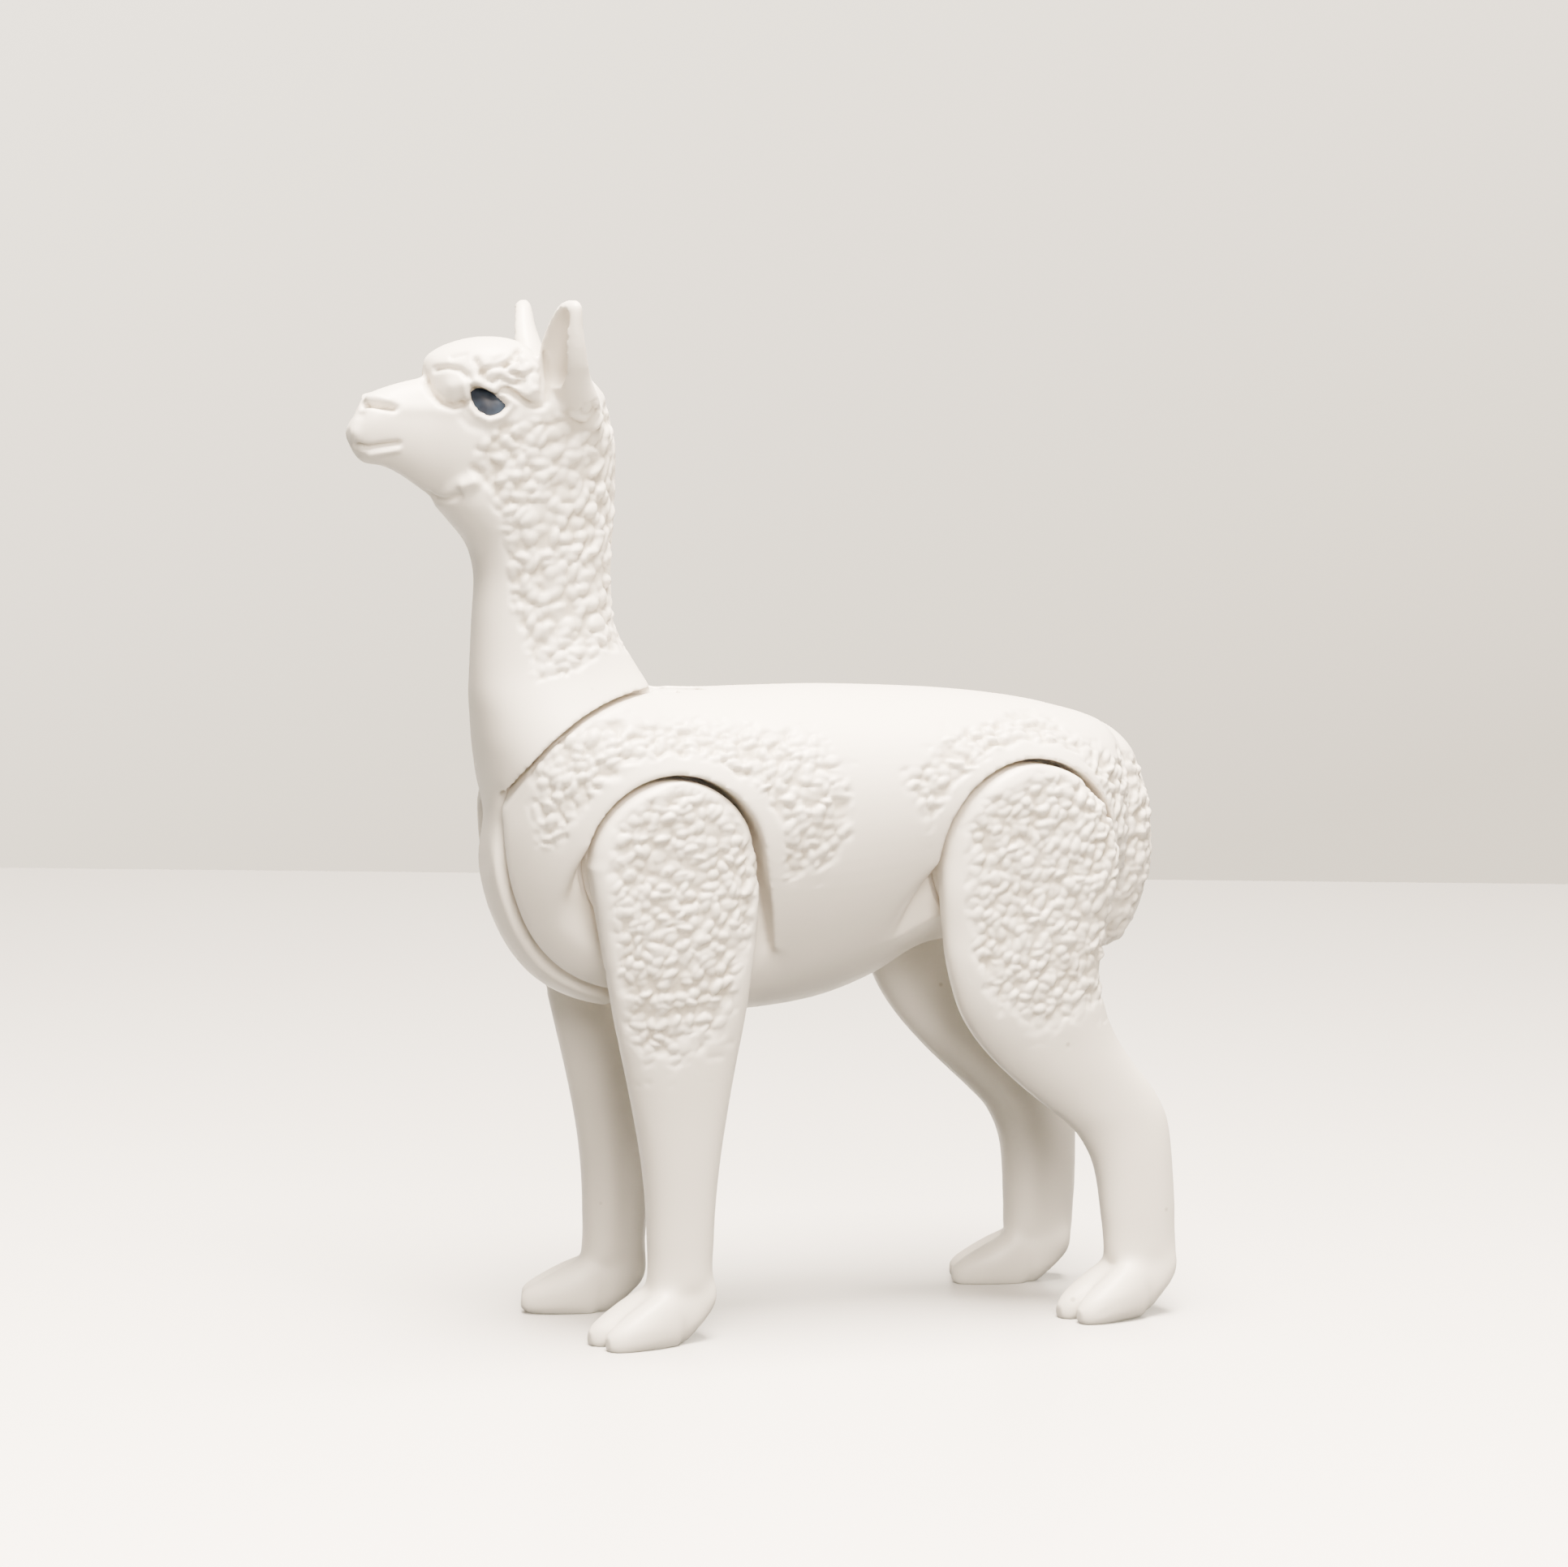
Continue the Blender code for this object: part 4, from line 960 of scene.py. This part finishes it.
def white_plastic():
    """Warm white moulded plastic with painted shade: darker and warmer where the stored painted shade is
    low, in creases and hollows; with a few tiny specks in it.
    """
    made, tree, shader = finish_material("white_plastic", 0.42)
    place = own_place(tree)
    # Painted shade stored on the skin, read back here.
    height = shader_node(tree, "Attribute", {"attribute_name": "relief"}, output=2)
    drift = noise(tree, place, 90.0, 3.0)
    grain = noise(tree, place, 2600.0, 2.0)
    # Painted shade: the dark, warm stop colours creases and hollows; the drift mixed in is random tone.
    colour = ramp(tree, height * 0.75 + drift * 0.25,
                  (0.08, (0.42, 0.375, 0.30)), (0.62, (0.80, 0.755, 0.69)))
    cell = shader_node(tree, "TexVoronoi", {}, Vector=place, Scale=150.0)
    speck = shader_node(tree, "MapRange", {}, Value=cell, From_Min=0.02, From_Max=0.045,
                        To_Min=0.55, To_Max=0.0)
    spotted = shader_node(tree, "Mix", {"data_type": "RGBA"}, output=2, Factor_Float=speck,
                          A_Color=colour, B_Color=(0.30, 0.26, 0.21, 1))
    bump = shader_node(tree, "Bump", {}, Height=grain, Strength=0.06, Distance=0.00008)
    plug(shader, Base_Color=spotted, Roughness=drift * 0.1 + grain * 0.06 + 0.34, Normal=bump)
    return made


def eye_paint():
    """Navy-black paint with faint lighter patches of painted reflection, from noise that also varies its
    roughness.
    """
    made, tree, shader = finish_material("eye_paint", 0.3)
    place = own_place(tree)
    painted_sheen_and_roughness = noise(tree, place, 700.0, 2.0)
    # Painted reflection: lighter navy where the noise is high.
    colour = ramp(tree, painted_sheen_and_roughness, (0.35, (0.010, 0.014, 0.024)), (0.75, (0.022, 0.034, 0.056)))
    plug(shader, Base_Color=colour, Roughness=painted_sheen_and_roughness * 0.15 + 0.4, Specular_IOR_Level=0.16)
    return made


FINISHES = {"white_plastic": white_plastic(), "eye_paint": eye_paint()}


def finished(obj, body, *nodes, finish="white_plastic"):
    """Bring a skin into the frame, shade and finish it, and hang it on its body."""
    obj.data.transform(Matrix.Scale(MM, 4) @ Matrix.Translation((SHIFT_X, 0, 0)))
    obj.data.shade_smooth()
    obj.data.materials.clear()
    obj.data.materials.append(FINISHES[finish])
    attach(obj, body)
    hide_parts(*nodes)
    return obj


# ---------------------------------------------------------------- camera, floor and light
AIM = (0.0, 1.7, 47.5)         # what the camera looks at, in the figure's own axes
AZIMUTH = -19.0
ELEVATION = 5.95
ROLL = 0.6
CAMERA_DISTANCE = 410.0
LENS = 106.2
SENSOR = 36.0
AWAY = np.array([-math.sin(math.radians(AZIMUTH)), math.cos(math.radians(AZIMUTH))])
ACROSS = np.array([math.cos(math.radians(AZIMUTH)), math.sin(math.radians(AZIMUTH))])
# Table and walls, as distances away from the camera and across its view, in mm.
TABLE_FAR, TABLE_NEAR, TABLE_HALF, TABLE_Z = 318.0, -1600.0, 2200.0, -0.02
WALL_CORNERS = ((900, -700), (900, 700), (-620, 700), (-620, -700))
WALL_HEIGHTS = (-900.0, 1500.0)
WARM = (1.0, 0.86, 0.71)       # colour of both lights


def camera():
    """Camera a little above the floor, ahead of the figure's left side."""
    a, e, roll = (math.radians(value) for value in (AZIMUTH, ELEVATION, ROLL))
    back = Vector((math.sin(a) * math.cos(e), -math.cos(a) * math.cos(e), math.sin(e)))
    level = (-back).cross(Vector((0, 0, 1))).normalized()
    upward = level.cross(-back)
    right = level * math.cos(roll) + upward * math.sin(roll)
    up = upward * math.cos(roll) - level * math.sin(roll)
    eye_point = (Vector(AIM) + back * CAMERA_DISTANCE + Vector((SHIFT_X, 0, 0))) * MM
    data = bpy.data.cameras.new("camera")
    data.sensor_width = SENSOR
    data.lens = LENS
    data.clip_start = 0.01
    data.clip_end = 20
    obj = in_scene("camera", data)
    turned = Matrix((right, up, back)).transposed().to_4x4()
    obj.matrix_world = Matrix.Translation(eye_point) @ turned
    bpy.context.scene.camera = obj


def area_light(name, place, aim, wide, deep, power, colour):
    """Soft rectangular light, in the figure's own axes."""
    data = bpy.data.lights.new(name, "AREA")
    data.shape = "RECTANGLE"
    data.size = wide * MM
    data.size_y = deep * MM
    data.energy = power
    data.color = colour
    obj = in_scene(name, data)
    obj.location = Vector(place) * MM
    obj.rotation_mode = "QUATERNION"
    obj.rotation_quaternion = (Vector(aim) - Vector(place)).to_track_quat("-Z", "Y")


def table_top():
    """Pale glossy table that ends behind the figure, with painted shade: darker towards that end, standing
    in for the light falling off.
    """
    corners = [AWAY * d + ACROSS * s for d, s in ((TABLE_NEAR, -TABLE_HALF), (TABLE_NEAR, TABLE_HALF),
                                                  (TABLE_FAR, TABLE_HALF), (TABLE_FAR, -TABLE_HALF))]
    points = np.array([(x, y, TABLE_Z) for x, y in corners]) * MM
    table = mesh_object("table_top", points, [np.array([[0, 1, 2, 3]])])
    made, tree, shader = finish_material("table_top", 0.3)
    place = own_place(tree)
    mottle = noise(tree, place, 14.0, 3.0)
    x, y, _ = coordinates(tree, place)
    # Painted shade: the table's colour darkens away from the camera in place of light falloff; the mottle is
    # random tone.
    painted_falloff = shader_node(tree, "MapRange", {"interpolation_type": "SMOOTHSTEP"},
                         Value=x * float(AWAY[0]) + y * float(AWAY[1]), From_Min=0.24, From_Max=-0.18)
    shade = ramp(tree, painted_falloff * 0.97 + mottle * 0.03, (0.0, (0.56, 0.555, 0.55)), (1.0, (0.94, 0.92, 0.905)))
    plug(shader, Base_Color=shade)
    table.data.materials.append(made)
    table.visible_diffuse = False


def walls():
    """Four pale walls in a closed run that glow instead of being lit, with painted light: brighter higher up
    and to one side.
    """
    sheet = np.array([AWAY * d + ACROSS * s for d, s in WALL_CORNERS])
    points = np.concatenate([np.insert(sheet, 2, height, axis=1) for height in WALL_HEIGHTS]) * MM
    around = np.arange(len(sheet))
    ahead = (around + 1) % len(sheet)
    faces = np.stack([around, ahead, ahead + len(sheet), around + len(sheet)], axis=-1)
    backdrop = mesh_object("backdrop", points, [faces])
    made, tree, shader = finish_material("backdrop", 1.0)
    x, y, z = coordinates(tree, own_place(tree))
    aside = x * float(ACROSS[0]) + y * float(ACROSS[1])
    # Painted light: the glow is stronger higher up and to one side.
    rise = shader_node(tree, "MapRange", {}, Value=z + aside * -0.3, From_Min=-0.1, From_Max=0.24)
    shade = ramp(tree, rise, (0.0, (1.78, 1.54, 1.22)), (1.0, (3.3, 2.92, 2.40)))
    plug(shader, Emission_Color=shade, Emission_Strength=1.0, Base_Color=(0, 0, 0, 1),
         Specular_IOR_Level=0.0)
    backdrop.data.materials.append(made)
    backdrop.visible_diffuse = False


def room_light():
    """Weak light from all round, stronger from below, and two soft lights above and ahead."""
    world = bpy.data.worlds.new("room")
    bpy.context.scene.world = world
    world.use_nodes = True
    tree = world.node_tree
    height = coordinates(tree, shader_node(tree, "TexCoord", {}, output=0))[2]
    below = shader_node(tree, "MapRange", {"interpolation_type": "SMOOTHSTEP"}, Value=height,
                        From_Min=-0.5, From_Max=0.1, To_Min=0.38, To_Max=0.1)
    plug(tree.nodes["Background"], Strength=below, Color=(1.0, 0.97, 0.80, 1))
    area_light("top", (-10, -80, 460), (0, 0, 40), 180, 330, 25.0, WARM)
    area_light("front", (-60, -470, 290), (0, 0, 35), 220, 220, 5.2, WARM)


# ---------------------------------------------------------------- the figure
camera()
trunk_shell(-1, "left")
trunk_shell(1, "right")
neck_skin()
for side_sign, side_word in ((-1, "left"), (1, "right")):
    eye(side_sign, side_word)
    for leg_kind in ("fore", "hind"):
        leg_skin(leg_kind, side_sign, side_word)
table_top()
walls()
room_light()
